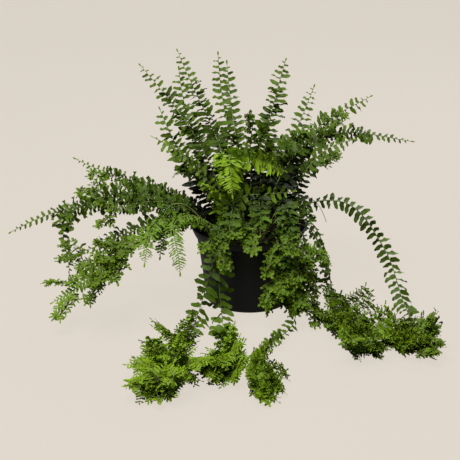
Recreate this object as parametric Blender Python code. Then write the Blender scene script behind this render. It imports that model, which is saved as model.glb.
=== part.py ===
"""A crested fern in a black nursery pot. Metres, +Z up, the pot's base centre at the origin.

The front of the plant faces -Y. Every frond is a thin stalk and rib with two rows of
leaflets cut to the rib. Many fronds fork at the end into a crest or a broad tassel.
Stalks stand in plain holes in the soil, and leaflets that would touch another frond are
bent clear of it, shortened or left out.
"""
import math
import random
from collections import namedtuple

import bmesh
import bpy
import numpy as np
from mathutils.bvhtree import BVHTree

# Pot
POT_HEIGHT = 0.104
RIM_RADIUS = 0.076
BASE_RADIUS = 0.057
WALL_TOP_RADIUS = 0.0692
LIP_HEIGHT = 0.013
LIP_STEP = 0.0022
POT_WALL = 0.0015
POT_FLOOR = 0.002
BASE_CHAMFER = 0.002
POT_SIDES = 32
DRAIN_COUNT = 4
DRAIN_RADIUS = 0.004
DRAIN_RING = 0.040
DRAIN_SIDES = 6

# Soil
SOIL_TOP = 0.090
SOIL_SWELL = 0.0012
SEAT_GAP = 0.0003
SOIL_SIDES = 16
SOIL_RING = 0.034

# Crown, the scaly rootstock that the stalks stand round
CROWN_SPOT = (0.003, 0.000)
CROWN_RADIUS = 0.0055
CROWN_SUNK = 0.009
CROWN_PROUD = 0.006
CROWN_SIDES = 8
CROWN_FOOT_SHARE = 0.7
CROWN_TOP_SHARE = 0.6
CROWN_ROOM = 0.0115

# Stalks and ribs
ROOT_DEPTH = 0.012
ROOT_NEAR = 0.012
ROOT_FAR = 0.050
ROOT_EDGE = 0.055
ROOT_SPACING = 0.0085
SPACING_ROUNDS = 400
STEEP_RISE = 88
LOW_RISE = 50
STRAIGHT_FOOT = 0.006
STALK_HALF_WIDTH = 0.0009
STALK_HALF_DEPTH = 0.0008
RIB_HALF_WIDTH = 0.0006
RIB_HALF_DEPTH = 0.0005
TIP_HALF_WIDTH = 0.0004
BRANCH_HALF_WIDTH = 0.00045
BRANCH_HALF_DEPTH = 0.0004
STALK_STEP = 0.020
FACE_TURN_SHARE = 0.35
RIB_GAP = 0.0006
HOLE_GAP = 0.0004
HOLE_PROUD = 0.008

# Leaflets
BARE_SHARE = 0.16
BARE_LEAST = 0.010
BARE_MOST = 0.024
LEAFLET_PITCH = 0.0188
TIP_CROWDING = 0.38
LAST_PITCH_SHARE = 0.6
LEAFLET_LENGTH = 0.0185
LEAFLET_SWEEP = 0.34
OWN_START = 0.2
LEAFLET_TIP_HALF_DEPTH = 0.00032
END_LEAFLET = 0.009
END_LENGTHS = (1.0, 0.7, 0.4, 0.2)
LEAFLET_SPREAD = (0.92, 1.06)
FIRST_SHARE = 0.55
GROWING_SLOPE = 4
SHRINKING_FROM = 0.4
SHRINKING_POWER = 1.3
SMALLEST_SHARE = 0.34
TASSEL_LEAST_SHARE = 0.6
LEAFLET_GAP = 0.0004
FOLD_SPREAD = 16
# Each try at a leaflet's fold in degrees, and its share of the full length
FOLD_TRIES = ((0, 1.0), (20, 1.0), (-20, 1.0), (42, 0.9), (-42, 0.9), (0, 0.62), (28, 0.62), (-28, 0.62))
# The triangles of a closed wedge with two corner pairs at the rib and one at the tip
WEDGE = ((0, 2, 4), (1, 5, 3), (0, 4, 5), (0, 5, 1), (4, 2, 3), (4, 3, 5), (0, 1, 3), (0, 3, 2))

# Crests and tassels
BRANCH_PITCH = 0.0140
BRANCH_LEAFLET = 0.0145
BRANCH_BARE = 0.006
BRANCH_BEND = 26
BRANCH_STEPS = 8
BRANCH_END_SHARE = 0.8
BRANCH_LIFT = {"crest": (0, 42), "ruffle": (0, 48), "tuft": (8, 64), "tassel": (8, 72)}
BRANCH_STEEPEST = 84
BRANCH_ROLL = 48
# Each try at a fork's change of angle and of lift in degrees
BRANCH_TRIES = ((0, 0), (0, 22), (0, -22), (14, 12), (-14, 12), (14, -14), (-14, -14), (0, 40))
# How far each fork starts from the tip, its angle and its length
FORKS = {
    "plain": (),
    "crest": ((0.026, 42, 0.026), (0.013, 40, 0.024)),
    "ruffle": ((0.074, 52, 0.036), (0.058, 50, 0.040), (0.042, 46, 0.038), (0.024, 42, 0.034)),
    "tuft": (
        (0.066, 54, 0.030),
        (0.056, 52, 0.034),
        (0.046, 50, 0.036),
        (0.036, 48, 0.034),
        (0.026, 45, 0.030),
        (0.015, 40, 0.024),
    ),
    "tassel": (
        (0.132, 56, 0.042),
        (0.116, 55, 0.052),
        (0.100, 54, 0.056),
        (0.084, 52, 0.056),
        (0.068, 50, 0.052),
        (0.052, 48, 0.048),
        (0.038, 46, 0.042),
        (0.025, 42, 0.036),
        (0.012, 36, 0.028),
    ),
}

# Where fronds lie and lean
LYING_HEIGHT = 0.005
LYING_SOFTNESS = 0.003
LOWEST_LEAF = 0.0008
RIM_ROOM = 0.006
RIM_PASS_HEIGHT = 0.012
WALL_ROOM = 0.007
SIDE_STEPS = (0, 0.003, -0.003, 0.006, -0.006, 0.009, -0.009, 0.012, -0.012)
START_PULL = 1.3
WAY_PULL = 1.0
END_PULL = 1.1
LINE_SAMPLES = 24
SEED = 27

# Runners and the young coiled frond
RUNNER_RADIUS = 0.0007
RUNNER_SIDES = 4
RUNNER_STEP = 4
RUNNER_RISE = 70
COIL_STEM_RADIUS = 0.0013
COIL_TIP_RADIUS = 0.0007
COIL_SIDES = 5
COIL_TURNS = 1.4
COIL_STEPS = 9
COIL_STEM_STEPS = 4
COIL_DEPTH = 0.0084
COIL_OUTER = 0.0075
COIL_INNER = 0.0022

COLOURS = {
    "pot": ((0.012, 0.012, 0.013), 0.42),
    "soil": ((0.035, 0.022, 0.014), 0.95),
    "crown": ((0.09, 0.05, 0.02), 0.85),
    "stalk": ((0.20, 0.26, 0.07), 0.55),
    "leaf": ((0.055, 0.14, 0.022), 0.45),
    "young": ((0.16, 0.30, 0.045), 0.45),
}

Frond = namedtuple("Frond", "name kind colour rise tip_rise face way")
Rib = namedtuple("Rib", "places ahead sides faces widths depths leafy")

# Each frond's rise at the root and at the tip in degrees, how far its blade turns to the
# front, and the points that it passes on its way to its tip
FRONDS = (
    Frond("frond_front_1", "tassel", "leaf", 58, 0, 0,
          ((-0.044, -0.092, 0.090), (-0.066, -0.102, 0.016), (-0.098, -0.312, 0.010))),
    Frond("frond_front_2", "tuft", "leaf", 55, 0, 0,
          ((-0.038, -0.094, 0.070), (-0.035, -0.102, 0.016), (-0.024, -0.252, 0.010))),
    Frond("frond_front_3", "crest", "leaf", 66, -80, 0, ((-0.004, -0.078, 0.132), (-0.005, -0.106, 0.111))),
    Frond("frond_front_4", "crest", "leaf", 62, -80, 0, ((-0.034, -0.080, 0.134), (-0.042, -0.116, 0.102))),
    Frond("frond_front_5", "ruffle", "leaf", 55, -85, 0, ((0.037, -0.092, 0.100), (0.038, -0.102, 0.034))),
    Frond("frond_front_6", "ruffle", "leaf", 55, -85, 0, ((0.062, -0.082, 0.095), (0.062, -0.097, 0.040))),
    Frond("frond_front_7", "crest", "leaf", 52, -85, 0, ((0.046, -0.108, 0.050),)),
    Frond("frond_front_8", "crest", "leaf", 60, -80, 0, ((0.040, -0.080, 0.134), (0.054, -0.108, 0.102))),
    Frond("frond_front_9", "tuft", "leaf", 58, 0, 0,
          ((0.0575, -0.092, 0.062), (0.055, -0.110, 0.013), (0.020, -0.176, 0.010), (-0.002, -0.289, 0.010))),
    Frond("frond_front_10", "plain", "leaf", 76, -80, 0, ((-0.020, -0.066, 0.150), (-0.026, -0.102, 0.118))),
    Frond("frond_front_11", "plain", "leaf", 78, -80, 0, ((0.010, -0.062, 0.158), (0.012, -0.100, 0.126))),
    Frond("frond_front_12", "plain", "leaf", 76, -80, 0, ((0.040, -0.056, 0.152), (0.050, -0.090, 0.120))),
    Frond("frond_front_13", "plain", "leaf", 74, -75, 0, ((0.060, -0.036, 0.148), (0.078, -0.054, 0.120))),
    Frond("frond_right_1", "tassel", "leaf", 60, -4, 0,
          ((0.089, -0.050, 0.095), (0.101, -0.072, 0.034), (0.122, -0.206, 0.010))),
    Frond("frond_right_2", "ruffle", "leaf", 50, 0, 0,
          ((0.078, -0.066, 0.066), (0.086, -0.080, 0.016), (0.106, -0.142, 0.010))),
    Frond("frond_right_3", "tuft", "leaf", 62, -6, 70,
          ((0.118, 0.000, 0.135), (0.177, -0.012, 0.076), (0.198, -0.062, 0.020), (0.204, -0.196, 0.010))),
    Frond("frond_right_4", "tuft", "leaf", 60, 0, 0,
          ((0.098, -0.026, 0.080), (0.112, -0.044, 0.018), (0.172, -0.184, 0.010))),
    Frond("frond_left_1", "plain", "leaf", 42, 24, 45, ((-0.234, 0.063, 0.175),)),
    Frond("frond_left_2", "crest", "leaf", 55, 0, 45, ((-0.212, 0.037, 0.146),)),
    Frond("frond_left_3", "plain", "leaf", 50, -30, 50, ((-0.308, -0.027, 0.102),)),
    Frond("frond_left_4", "plain", "leaf", 54, -80, 45, ((-0.225, -0.060, 0.138), (-0.231, -0.062, 0.053))),
    Frond("frond_left_5", "crest", "leaf", 55, -35, 40, ((-0.188, -0.069, 0.129),)),
    Frond("frond_left_6", "ruffle", "young", 55, -20, 30, ((-0.243, -0.113, 0.040),)),
    Frond("frond_left_7", "crest", "leaf", 52, -8, 30, ((-0.230, -0.084, 0.089),)),
    Frond("frond_left_8", "ruffle", "leaf", 50, -65, 20, ((-0.186, -0.126, 0.066),)),
    Frond("frond_left_9", "plain", "young", 52, -55, 10, ((-0.112, -0.104, 0.141), (-0.124, -0.166, 0.112))),
    Frond("frond_left_10", "plain", "young", 55, -75, 10, ((-0.090, -0.094, 0.140), (-0.084, -0.150, 0.094))),
    Frond("frond_left_11", "plain", "leaf", 52, -70, 10, ((-0.049, -0.122, 0.104),)),
    Frond("frond_left_12", "plain", "leaf", 50, -65, 20, ((-0.096, -0.074, 0.152), (-0.110, -0.112, 0.100))),
    Frond("frond_top_1", "plain", "leaf", 74, 42, 40, ((-0.144, 0.083, 0.298),)),
    Frond("frond_top_2", "plain", "leaf", 80, 55, 30, ((-0.096, 0.114, 0.312),)),
    Frond("frond_top_3", "plain", "leaf", 66, 84, 30, ((-0.093, 0.078, 0.294),)),
    Frond("frond_top_4", "plain", "leaf", 80, 84, 20, ((-0.041, 0.099, 0.310),)),
    Frond("frond_top_5", "plain", "leaf", 86, 80, 20, ((-0.029, 0.060, 0.305),)),
    Frond("frond_top_6", "plain", "leaf", 80, 50, 20, ((0.050, 0.100, 0.302),)),
    Frond("frond_top_7", "crest", "leaf", 84, 58, 30, ((0.006, 0.024, 0.240),)),
    Frond("frond_top_8", "plain", "leaf", 72, 58, 30, ((0.089, 0.100, 0.266),)),
    Frond("frond_top_9", "plain", "leaf", 70, 22, 40, ((0.081, 0.038, 0.213), (0.163, 0.076, 0.258))),
    Frond("frond_top_10", "plain", "leaf", 80, -10, 40, ((0.082, 0.004, 0.214), (0.211, 0.018, 0.211))),
    Frond("frond_top_11", "plain", "leaf", 65, 12, 40, ((0.130, -0.030, 0.225),)),
    Frond("frond_top_12", "crest", "leaf", 76, -8, 40, ((0.066, 0.022, 0.220), (0.108, 0.033, 0.224))),
    Frond("frond_mid_1", "plain", "leaf", 74, 30, 20, ((-0.119, -0.043, 0.231),)),
    Frond("frond_mid_2", "plain", "leaf", 66, 70, 30, ((-0.115, 0.020, 0.252),)),
    Frond("frond_mid_3", "plain", "young", 86, -70, 0, ((-0.026, -0.050, 0.208), (-0.022, -0.092, 0.172))),
    Frond("frond_mid_4", "plain", "young", 80, -15, 10, ((-0.020, -0.028, 0.198), (0.042, -0.070, 0.196))),
    Frond("frond_mid_5", "plain", "leaf", 60, 10, 20, ((-0.030, -0.044, 0.142), (0.052, -0.046, 0.162))),
    Frond("frond_mid_6", "plain", "young", 70, 20, 10, ((-0.056, -0.060, 0.175),)),
    Frond("frond_back_1", "plain", "leaf", 70, -20, 0, ((0.100, 0.150, 0.190),)),
    Frond("frond_back_2", "crest", "leaf", 60, -50, 0, ((0.030, 0.190, 0.140),)),
    Frond("frond_back_3", "plain", "leaf", 68, -25, 0, ((-0.070, 0.180, 0.185),)),
    Frond("frond_back_4", "plain", "leaf", 60, -40, 0, ((-0.106, 0.142, 0.128),)),
    Frond("frond_back_5", "crest", "leaf", 60, -40, 0, ((0.112, 0.122, 0.146),)),
    Frond("frond_back_6", "crest", "leaf", 55, 0, 0,
          ((0.030, 0.096, 0.090), (0.034, 0.120, 0.016), (0.020, 0.200, 0.010))),
    Frond("frond_back_7", "crest", "leaf", 55, -60, 0, ((-0.030, 0.096, 0.090), (-0.036, 0.130, 0.016))),
)

# A runner's root, the points that it passes and its tip
RUNNERS = (
    ("runner_1", (0.046, 0.022), ((0.071, 0.034, 0.128), (0.094, 0.050, 0.112))),
    ("runner_2", (0.049, 0.010), ((0.078, 0.020, 0.132), (0.104, 0.018, 0.100))),
)

# The young coiled frond's name, its root and the height of its coil above the soil
CROZIER = ("crozier", (0.010, -0.016), 0.036)


def unit(vector):
    """The vector with a length of one."""
    vector = np.asarray(vector, float)
    return vector / np.linalg.norm(vector)


def direction(heading, rise):
    """A unit vector that points along a heading, in radians, and rises by a number of degrees."""
    up = math.radians(rise)
    return np.array([math.cos(up) * math.cos(heading), math.cos(up) * math.sin(heading), math.sin(up)])


def heading_between(start, end):
    """The heading from one point to the next, in radians."""
    return math.atan2(end[1] - start[1], end[0] - start[0])


def make_material(name):
    """A plain material with the colour and roughness listed for it."""
    colour, roughness = COLOURS[name]
    material = bpy.data.materials.new(name)
    material.use_nodes = True
    shader = material.node_tree.nodes["Principled BSDF"]
    shader.inputs["Base Color"].default_value = (*colour, 1.0)
    shader.inputs["Roughness"].default_value = roughness
    shader.inputs["Metallic"].default_value = 0.0
    return material


def add_object(name, mesh, material):
    """Link a new object for the mesh, with the one material."""
    mesh.materials.clear()
    mesh.materials.append(material)
    thing = bpy.data.objects.new(name, mesh)
    bpy.context.scene.collection.objects.link(thing)
    return thing


def mesh_of(name, solid):
    """A Blender mesh from a pair of vertices and triangles."""
    vertices, triangles = solid
    mesh = bpy.data.meshes.new(name)
    mesh.from_pydata([tuple(v) for v in vertices], [], [tuple(t) for t in triangles])
    return mesh


def turned_mesh(name, profile, sides):
    """Spin a profile of radius and height pairs, whose two ends lie on the axis, round Z."""
    bm = bmesh.new()
    verts = [bm.verts.new((radius, 0, height)) for radius, height in profile]
    edges = [bm.edges.new(pair) for pair in zip(verts, verts[1:])]
    bmesh.ops.spin(bm, geom=verts + edges, cent=(0, 0, 0), axis=(0, 0, 1), angle=2 * math.pi,
                   steps=sides, use_merge=True)
    bmesh.ops.remove_doubles(bm, verts=bm.verts, dist=1e-6)
    bmesh.ops.dissolve_degenerate(bm, edges=bm.edges, dist=1e-7)
    bmesh.ops.recalc_face_normals(bm, faces=bm.faces)
    mesh = bpy.data.meshes.new(name)
    bm.to_mesh(mesh)
    bm.free()
    mesh.shade_smooth()
    mesh.set_sharp_from_angle(angle=math.radians(30))
    return mesh


def outer_radius(height):
    """The pot's outer radius at a height."""
    if height >= POT_HEIGHT - LIP_HEIGHT:
        return RIM_RADIUS
    share = max(height, 0) / (POT_HEIGHT - LIP_HEIGHT)
    return BASE_RADIUS + (WALL_TOP_RADIUS - BASE_RADIUS) * share


def cylinder_cutter(name, radius, sides, depth, place):
    """An upright drum that only cuts other objects."""
    bm = bmesh.new()
    bmesh.ops.create_cone(bm, cap_ends=True, segments=sides, radius1=radius, radius2=radius, depth=depth)
    mesh = bpy.data.meshes.new(name)
    bm.to_mesh(mesh)
    bm.free()
    cutter = bpy.data.objects.new(name, mesh)
    cutter.location = place
    cutter.hide_render = True
    cutter.display_type = "WIRE"
    return cutter


def apply_boolean(thing, collection, operation, solver):
    """Join or cut an object with all of a collection, then remove the collection's objects."""
    change = thing.modifiers.new("join", "BOOLEAN")
    change.operation = operation
    change.operand_type = "COLLECTION"
    change.collection = collection
    change.solver = solver
    depsgraph = bpy.context.evaluated_depsgraph_get()
    result = bpy.data.meshes.new_from_object(thing.evaluated_get(depsgraph))
    thing.modifiers.remove(change)
    thing.data = result
    for other in list(collection.objects):
        bpy.data.objects.remove(other)
    bpy.data.collections.remove(collection)


def build_pot(materials):
    """One thin tapered shell with a flared lip band and drainage holes in its floor."""
    lip_bottom = POT_HEIGHT - LIP_HEIGHT
    lip_radius = WALL_TOP_RADIUS + LIP_STEP
    edge = POT_WALL / 2
    profile = (
        (0, 0),
        (BASE_RADIUS - BASE_CHAMFER, 0),
        (BASE_RADIUS, BASE_CHAMFER),
        (WALL_TOP_RADIUS, lip_bottom - edge),
        (lip_radius, lip_bottom),
        (RIM_RADIUS, POT_HEIGHT),
        (RIM_RADIUS - POT_WALL, POT_HEIGHT),
        (lip_radius - POT_WALL, lip_bottom + edge),
        (WALL_TOP_RADIUS - POT_WALL, lip_bottom - edge),
        (BASE_RADIUS - POT_WALL, POT_FLOOR),
        (0, POT_FLOOR),
    )
    pot = add_object("pot", turned_mesh("pot", profile, POT_SIDES), materials["pot"])
    drains = bpy.data.collections.new("drains")
    bpy.context.scene.collection.children.link(drains)
    for index in range(DRAIN_COUNT):
        angle = 2 * math.pi * index / DRAIN_COUNT
        place = (DRAIN_RING * math.cos(angle), DRAIN_RING * math.sin(angle), POT_FLOOR / 2)
        drains.objects.link(cylinder_cutter("drain", DRAIN_RADIUS, DRAIN_SIDES, POT_FLOOR * 4, place))
    apply_boolean(pot, drains, "DIFFERENCE", "EXACT")
    return pot


def soil_height(radius):
    """The soil's top, which swells and dips a little from the middle to the wall."""
    return SOIL_TOP + SOIL_SWELL * math.cos(radius / SOIL_RING * 2 * math.pi)


def build_soil(materials, holes):
    """A solid of soil that fills the pot, with a plain hole for each stalk and crown."""
    slope = (WALL_TOP_RADIUS - BASE_RADIUS) / (POT_HEIGHT - LIP_HEIGHT)
    flats = WALL_TOP_RADIUS * (1 - math.cos(math.pi / POT_SIDES))
    inside = POT_WALL + SEAT_GAP + flats
    bottom = POT_FLOOR + SEAT_GAP
    foot = BASE_RADIUS - inside
    top_edge = BASE_RADIUS + slope * SOIL_TOP - inside
    profile = [(0, bottom), (foot - POT_WALL, bottom), (foot, bottom + POT_WALL),
               (top_edge, SOIL_TOP), (SOIL_RING, soil_height(SOIL_RING)), (0, soil_height(0))]
    soil = add_object("soil", turned_mesh("soil", profile, SOIL_SIDES), materials["soil"])
    sockets = bpy.data.collections.new("sockets")
    bpy.context.scene.collection.children.link(sockets)
    for solid in holes:
        cutter = bpy.data.objects.new("socket", mesh_of("socket", solid))
        cutter.hide_render = True
        cutter.display_type = "WIRE"
        sockets.objects.link(cutter)
    apply_boolean(soil, sockets, "DIFFERENCE", "EXACT")
    return soil


def crown_socket():
    """The plain hole that the crown stands in."""
    reach = CROWN_RADIUS + SEAT_GAP * 2
    heights = (SOIL_TOP - CROWN_SUNK - SEAT_GAP * 2, SOIL_TOP + HOLE_PROUD)
    angles = [2 * math.pi * (k + 0.5) / CROWN_SIDES for k in range(CROWN_SIDES)]
    spread = reach / math.cos(math.pi / CROWN_SIDES)
    ring = [(CROWN_SPOT[0] + spread * math.cos(a), CROWN_SPOT[1] + spread * math.sin(a)) for a in angles]
    vertices = [(x, y, z) for z in heights for x, y in ring]
    triangles = []
    count = CROWN_SIDES
    for k in range(count):
        after = (k + 1) % count
        triangles += [(k, after, count + after), (k, count + after, count + k)]
    for k in range(1, count - 1):
        triangles += [(0, k + 1, k), (count, count + k, count + k + 1)]
    return np.array(vertices), triangles


def build_crown(materials):
    """The short rootstock, half sunk in the soil."""
    low = SOIL_TOP - CROWN_SUNK
    high = SOIL_TOP + CROWN_PROUD
    profile = ((0, low), (CROWN_RADIUS * CROWN_FOOT_SHARE, low), (CROWN_RADIUS, SOIL_TOP - CROWN_SUNK / 2),
               (CROWN_RADIUS, SOIL_TOP + CROWN_PROUD / 2), (CROWN_RADIUS * CROWN_TOP_SHARE, high), (0, high))
    mesh = turned_mesh("crown", profile, CROWN_SIDES)
    for vertex in mesh.vertices:
        vertex.co.x += CROWN_SPOT[0]
        vertex.co.y += CROWN_SPOT[1]
    return add_object("crown", mesh, materials["crown"])


def root_spots():
    """Steep fronds root near the middle of the soil and low ones near its edge, none too close."""
    spots = []
    for frond in FRONDS:
        share = min(max((STEEP_RISE - frond.rise) / (STEEP_RISE - LOW_RISE), 0), 1)
        radius = ROOT_NEAR + (ROOT_FAR - ROOT_NEAR) * share
        heading = heading_between((0, 0), frond.way[0])
        spots.append([radius * math.cos(heading), radius * math.sin(heading)])
    spots = np.array(spots)
    fixed = [(np.array(CROWN_SPOT), CROWN_ROOM), (np.array(CROZIER[1]), ROOT_SPACING)]
    fixed += [(np.array(spot), ROOT_SPACING) for name, spot, way in RUNNERS]
    for _ in range(SPACING_ROUNDS):
        for i in range(len(spots)):
            for other, room in fixed:
                gap = spots[i] - other
                distance = max(np.linalg.norm(gap), 1e-6)
                if distance < room:
                    spots[i] += gap / distance * (room - distance)
            for j in range(i):
                gap = spots[i] - spots[j]
                distance = max(np.linalg.norm(gap), 1e-6)
                if distance < ROOT_SPACING:
                    push = gap / distance * (ROOT_SPACING - distance) / 2
                    spots[i] += push
                    spots[j] -= push
            distance = np.linalg.norm(spots[i])
            if distance > ROOT_EDGE:
                spots[i] *= ROOT_EDGE / distance
    return spots


def hermite(start, start_pull, end, end_pull, samples):
    """Points of a smooth span between two points, without its last one."""
    t = np.linspace(0, 1, samples, endpoint=False)[:, None]
    return ((2 * t ** 3 - 3 * t ** 2 + 1) * start + (t ** 3 - 2 * t ** 2 + t) * start_pull
            + (3 * t ** 2 - 2 * t ** 3) * end + (t ** 3 - t ** 2) * end_pull)


def smooth_line(root, rise, way, tip_rise):
    """A smooth line from a straight foot in the soil through the way points to the tip."""
    points = [np.array([root[0], root[1], SOIL_TOP])] + [np.array(p, float) for p in way]
    spans = [np.linalg.norm(b - a) for a, b in zip(points, points[1:])]
    start = direction(heading_between(points[0], points[1]), rise)
    above = points[0] + start * STRAIGHT_FOOT
    tangents = [start]
    for a, b, c in zip(points, points[1:], points[2:]):
        tangents.append(unit(unit(b - a) + unit(c - b)))
    tangents.append(direction(heading_between(points[-2], points[-1]), tip_rise))
    knots = [above] + points[1:]
    pulls = [START_PULL] + [WAY_PULL] * (len(points) - 2) + [END_PULL]
    line = [(points[0] - start * ROOT_DEPTH)[None]]
    for k, span in enumerate(spans):
        line.append(hermite(knots[k], tangents[k] * span * pulls[k],
                            knots[k + 1], tangents[k + 1] * span * pulls[k + 1], LINE_SAMPLES))
    line.append(knots[-1][None])
    return np.concatenate(line)


def laid(points):
    """The points with none lower than a frond lies on the surface below."""
    raised = points.copy()
    over = (points[:, 2] - LYING_HEIGHT) / LYING_SOFTNESS
    raised[:, 2] = LYING_HEIGHT + LYING_SOFTNESS * np.logaddexp(0, over)
    return raised


def clear_of_wall(points):
    """The points after the rim, moved out where they would run into the pot's wall."""
    moved = points.copy()
    radii = np.hypot(points[:, 0], points[:, 1])
    outside = np.flatnonzero(radii > RIM_RADIUS + RIM_ROOM / 2)
    if len(outside) == 0:
        return moved
    for k in range(outside[0], len(points)):
        if points[k, 2] > POT_HEIGHT + RIM_ROOM:
            continue
        least = outer_radius(points[k, 2]) + WALL_ROOM
        if radii[k] < least:
            moved[k, :2] *= least / radii[k]
    return moved


def rim_pass(root, target):
    """The point where a low frond crosses over the rim on its way to the target."""
    start = np.array(root)
    step = np.array(target[:2]) - start
    radius = RIM_RADIUS - POT_WALL
    a, b, c = step @ step, 2 * start @ step, start @ start - radius ** 2
    share = (-b + math.sqrt(b * b - 4 * a * c)) / (2 * a)
    spot = start + step * share
    return (spot[0], spot[1], POT_HEIGHT + RIM_PASS_HEIGHT)


def frond_line(frond, root):
    """The line of a frond's stalk and rib, led over the rim and along what it lies on."""
    way = frond.way
    line = smooth_line(root, frond.rise, way, frond.tip_rise)
    radii = np.hypot(line[:, 0], line[:, 1])
    near = (radii > RIM_RADIUS - 2 * RIM_ROOM) & (radii < RIM_RADIUS + RIM_ROOM)
    first_out = np.flatnonzero(radii > RIM_RADIUS + RIM_ROOM)
    if len(first_out):
        near[first_out[0]:] = False
    if near.any() and line[near][:, 2].min() < POT_HEIGHT + RIM_ROOM:
        way = (rim_pass(root, frond.way[0]),) + frond.way
        line = smooth_line(root, frond.rise, way, frond.tip_rise)
    return laid(clear_of_wall(line))


def bowed(line, amount):
    """The line bowed sideways in its middle, with both its ends kept."""
    lengths = lengths_along(line)
    share = lengths / lengths[-1]
    heading = heading_between(line[0], line[-1])
    side = np.array([-math.sin(heading), math.cos(heading), 0])
    free = np.clip((lengths - ROOT_DEPTH - STRAIGHT_FOOT) / STALK_STEP, 0, 1)
    return line + (amount * np.sin(math.pi * share) * free)[:, None] * side


def lengths_along(points):
    """The length from the first point to each point."""
    steps = np.linalg.norm(np.diff(points, axis=0), axis=1)
    return np.concatenate([[0], np.cumsum(steps)])


def framed(points, first_side, turn):
    """The direction, side and upper face along a line, turned about it by a growing angle."""
    ahead = np.gradient(points, axis=0)
    ahead /= np.linalg.norm(ahead, axis=1)[:, None]
    side = first_side
    sides = []
    for forward in ahead:
        side = unit(side - forward * (side @ forward))
        sides.append(side)
    sides = np.array(sides)
    faces = np.cross(ahead, sides)
    share = lengths_along(points) / lengths_along(points)[-1]
    angles = math.radians(turn) * np.clip(share / FACE_TURN_SHARE, 0, 1)
    cosine, sine = np.cos(angles)[:, None], np.sin(angles)[:, None]
    return ahead, sides * cosine - faces * sine, faces * cosine + sides * sine


def sample(values, lengths, stations):
    """Rows of values read off at the stations along a line."""
    return np.stack([np.interp(stations, lengths, values[:, axis]) for axis in range(3)], axis=1)


def unit_rows(rows):
    """Each row with a length of one."""
    return rows / np.linalg.norm(rows, axis=1)[:, None]


def rib_from(points, first_side, turn, stations, widths, depths, leafy):
    """A rib with its frame at each station, and the first station that carries leaflets."""
    lengths = lengths_along(points)
    ahead, sides, faces = framed(points, first_side, turn)
    return Rib(sample(points, lengths, stations), unit_rows(sample(ahead, lengths, stations)),
               unit_rows(sample(sides, lengths, stations)), unit_rows(sample(faces, lengths, stations)),
               widths, depths, leafy)


def main_rib(frond, line):
    """A frond's stalk and main rib, with stations closer together towards the tip."""
    total = lengths_along(line)[-1]
    stations = [0.0, ROOT_DEPTH + STRAIGHT_FOOT]
    bare = stations[1] + min(max(BARE_SHARE * total, BARE_LEAST), BARE_MOST)
    pieces = max(round((bare - stations[1]) / STALK_STEP), 1)
    stations += list(np.linspace(stations[1], bare, pieces + 1)[1:])
    leafy = len(stations) - 1
    end = total - END_LEAFLET
    here = bare
    while here < end - LEAFLET_PITCH * LAST_PITCH_SHARE:
        share = (here - bare) / (end - bare)
        here = min(here + LEAFLET_PITCH * (1 - TIP_CROWDING * share ** 2), end)
        stations.append(here)
    stations = np.array(stations)
    share = np.clip((stations - bare) / (total - bare), 0, 1)
    rib_widths = RIB_HALF_WIDTH + (TIP_HALF_WIDTH - RIB_HALF_WIDTH) * share
    rib_depths = RIB_HALF_DEPTH + (TIP_HALF_WIDTH - RIB_HALF_DEPTH) * share
    widths = np.where(stations <= bare, STALK_HALF_WIDTH, rib_widths)
    depths = np.where(stations <= bare, STALK_HALF_DEPTH, rib_depths)
    heading = heading_between(line[0], line[1])
    first_side = np.array([-math.sin(heading), math.cos(heading), 0])
    facing = -1 if math.cos(heading_between(line[0], line[-1])) > 0 else 1
    return rib_from(line, first_side, frond.face * facing, stations, widths, depths, leafy)


def branch_rib(parent, station, side, angle, lift, roll, length):
    """A forked rib that leaves its parent at an angle and bends forward as it goes."""
    place = parent.places[station]
    ahead, out, face = parent.ahead[station], parent.sides[station] * side, parent.faces[station]
    points = [place]
    tilt = math.radians(min(lift, BRANCH_STEEPEST))
    for k in range(BRANCH_STEPS):
        turn = math.radians(angle - BRANCH_BEND * k / BRANCH_STEPS)
        level = math.cos(turn) * ahead + math.sin(turn) * out
        points.append(points[-1] + (math.cos(tilt) * level + math.sin(tilt) * face) * length / BRANCH_STEPS)
    points = np.array(points)
    points[1:] = laid(points[1:])
    stations = [0.0, BRANCH_BARE]
    while stations[-1] < length - BRANCH_PITCH - RIB_GAP:
        stations.append(stations[-1] + BRANCH_PITCH)
    stations = np.array(stations)
    count = len(stations)
    first_side = parent.sides[station] * math.cos(turn) - parent.ahead[station] * side * math.sin(turn)
    return rib_from(points, first_side, roll, stations, np.full(count, BRANCH_HALF_WIDTH),
                    np.full(count, BRANCH_HALF_DEPTH), 1)


def tube(rib, grow, last=None):
    """The rib as a plain four-sided solid, grown on every side."""
    count = len(rib.places) if last is None else last
    vertices = []
    for k in range(count):
        wide = rib.sides[k] * (rib.widths[k] + grow)
        deep = rib.faces[k] * (rib.depths[k] + grow)
        back = -grow if k == 0 else grow if k == count - 1 else 0
        middle = rib.places[k] + rib.ahead[k] * back
        vertices += [middle + wide + deep, middle - wide + deep, middle - wide - deep, middle + wide - deep]
    triangles = [(0, 3, 2), (0, 2, 1)]
    for k in range(count - 1):
        for a in range(4):
            b = (a + 1) % 4
            low, high = 4 * k, 4 * k + 4
            triangles += [(low + a, low + b, high + b), (low + a, high + b, high + a)]
    end = 4 * (count - 1)
    triangles += [(end, end + 1, end + 2), (end, end + 2, end + 3)]
    return np.array(vertices), triangles


def tree_of(solids):
    """A search tree over a list of solids, or none for an empty list."""
    vertices, triangles = [], []
    for points, faces in solids:
        first = len(vertices)
        vertices += [tuple(p) for p in points]
        triangles += [tuple(index + first for index in face) for face in faces]
    return BVHTree.FromPolygons(vertices, triangles, all_triangles=True) if triangles else None


def touches(solid, trees):
    """Whether a solid meets what any of the trees holds."""
    probe = tree_of([solid])
    return any(tree is not None and probe.overlap(tree) for tree in trees)


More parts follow.
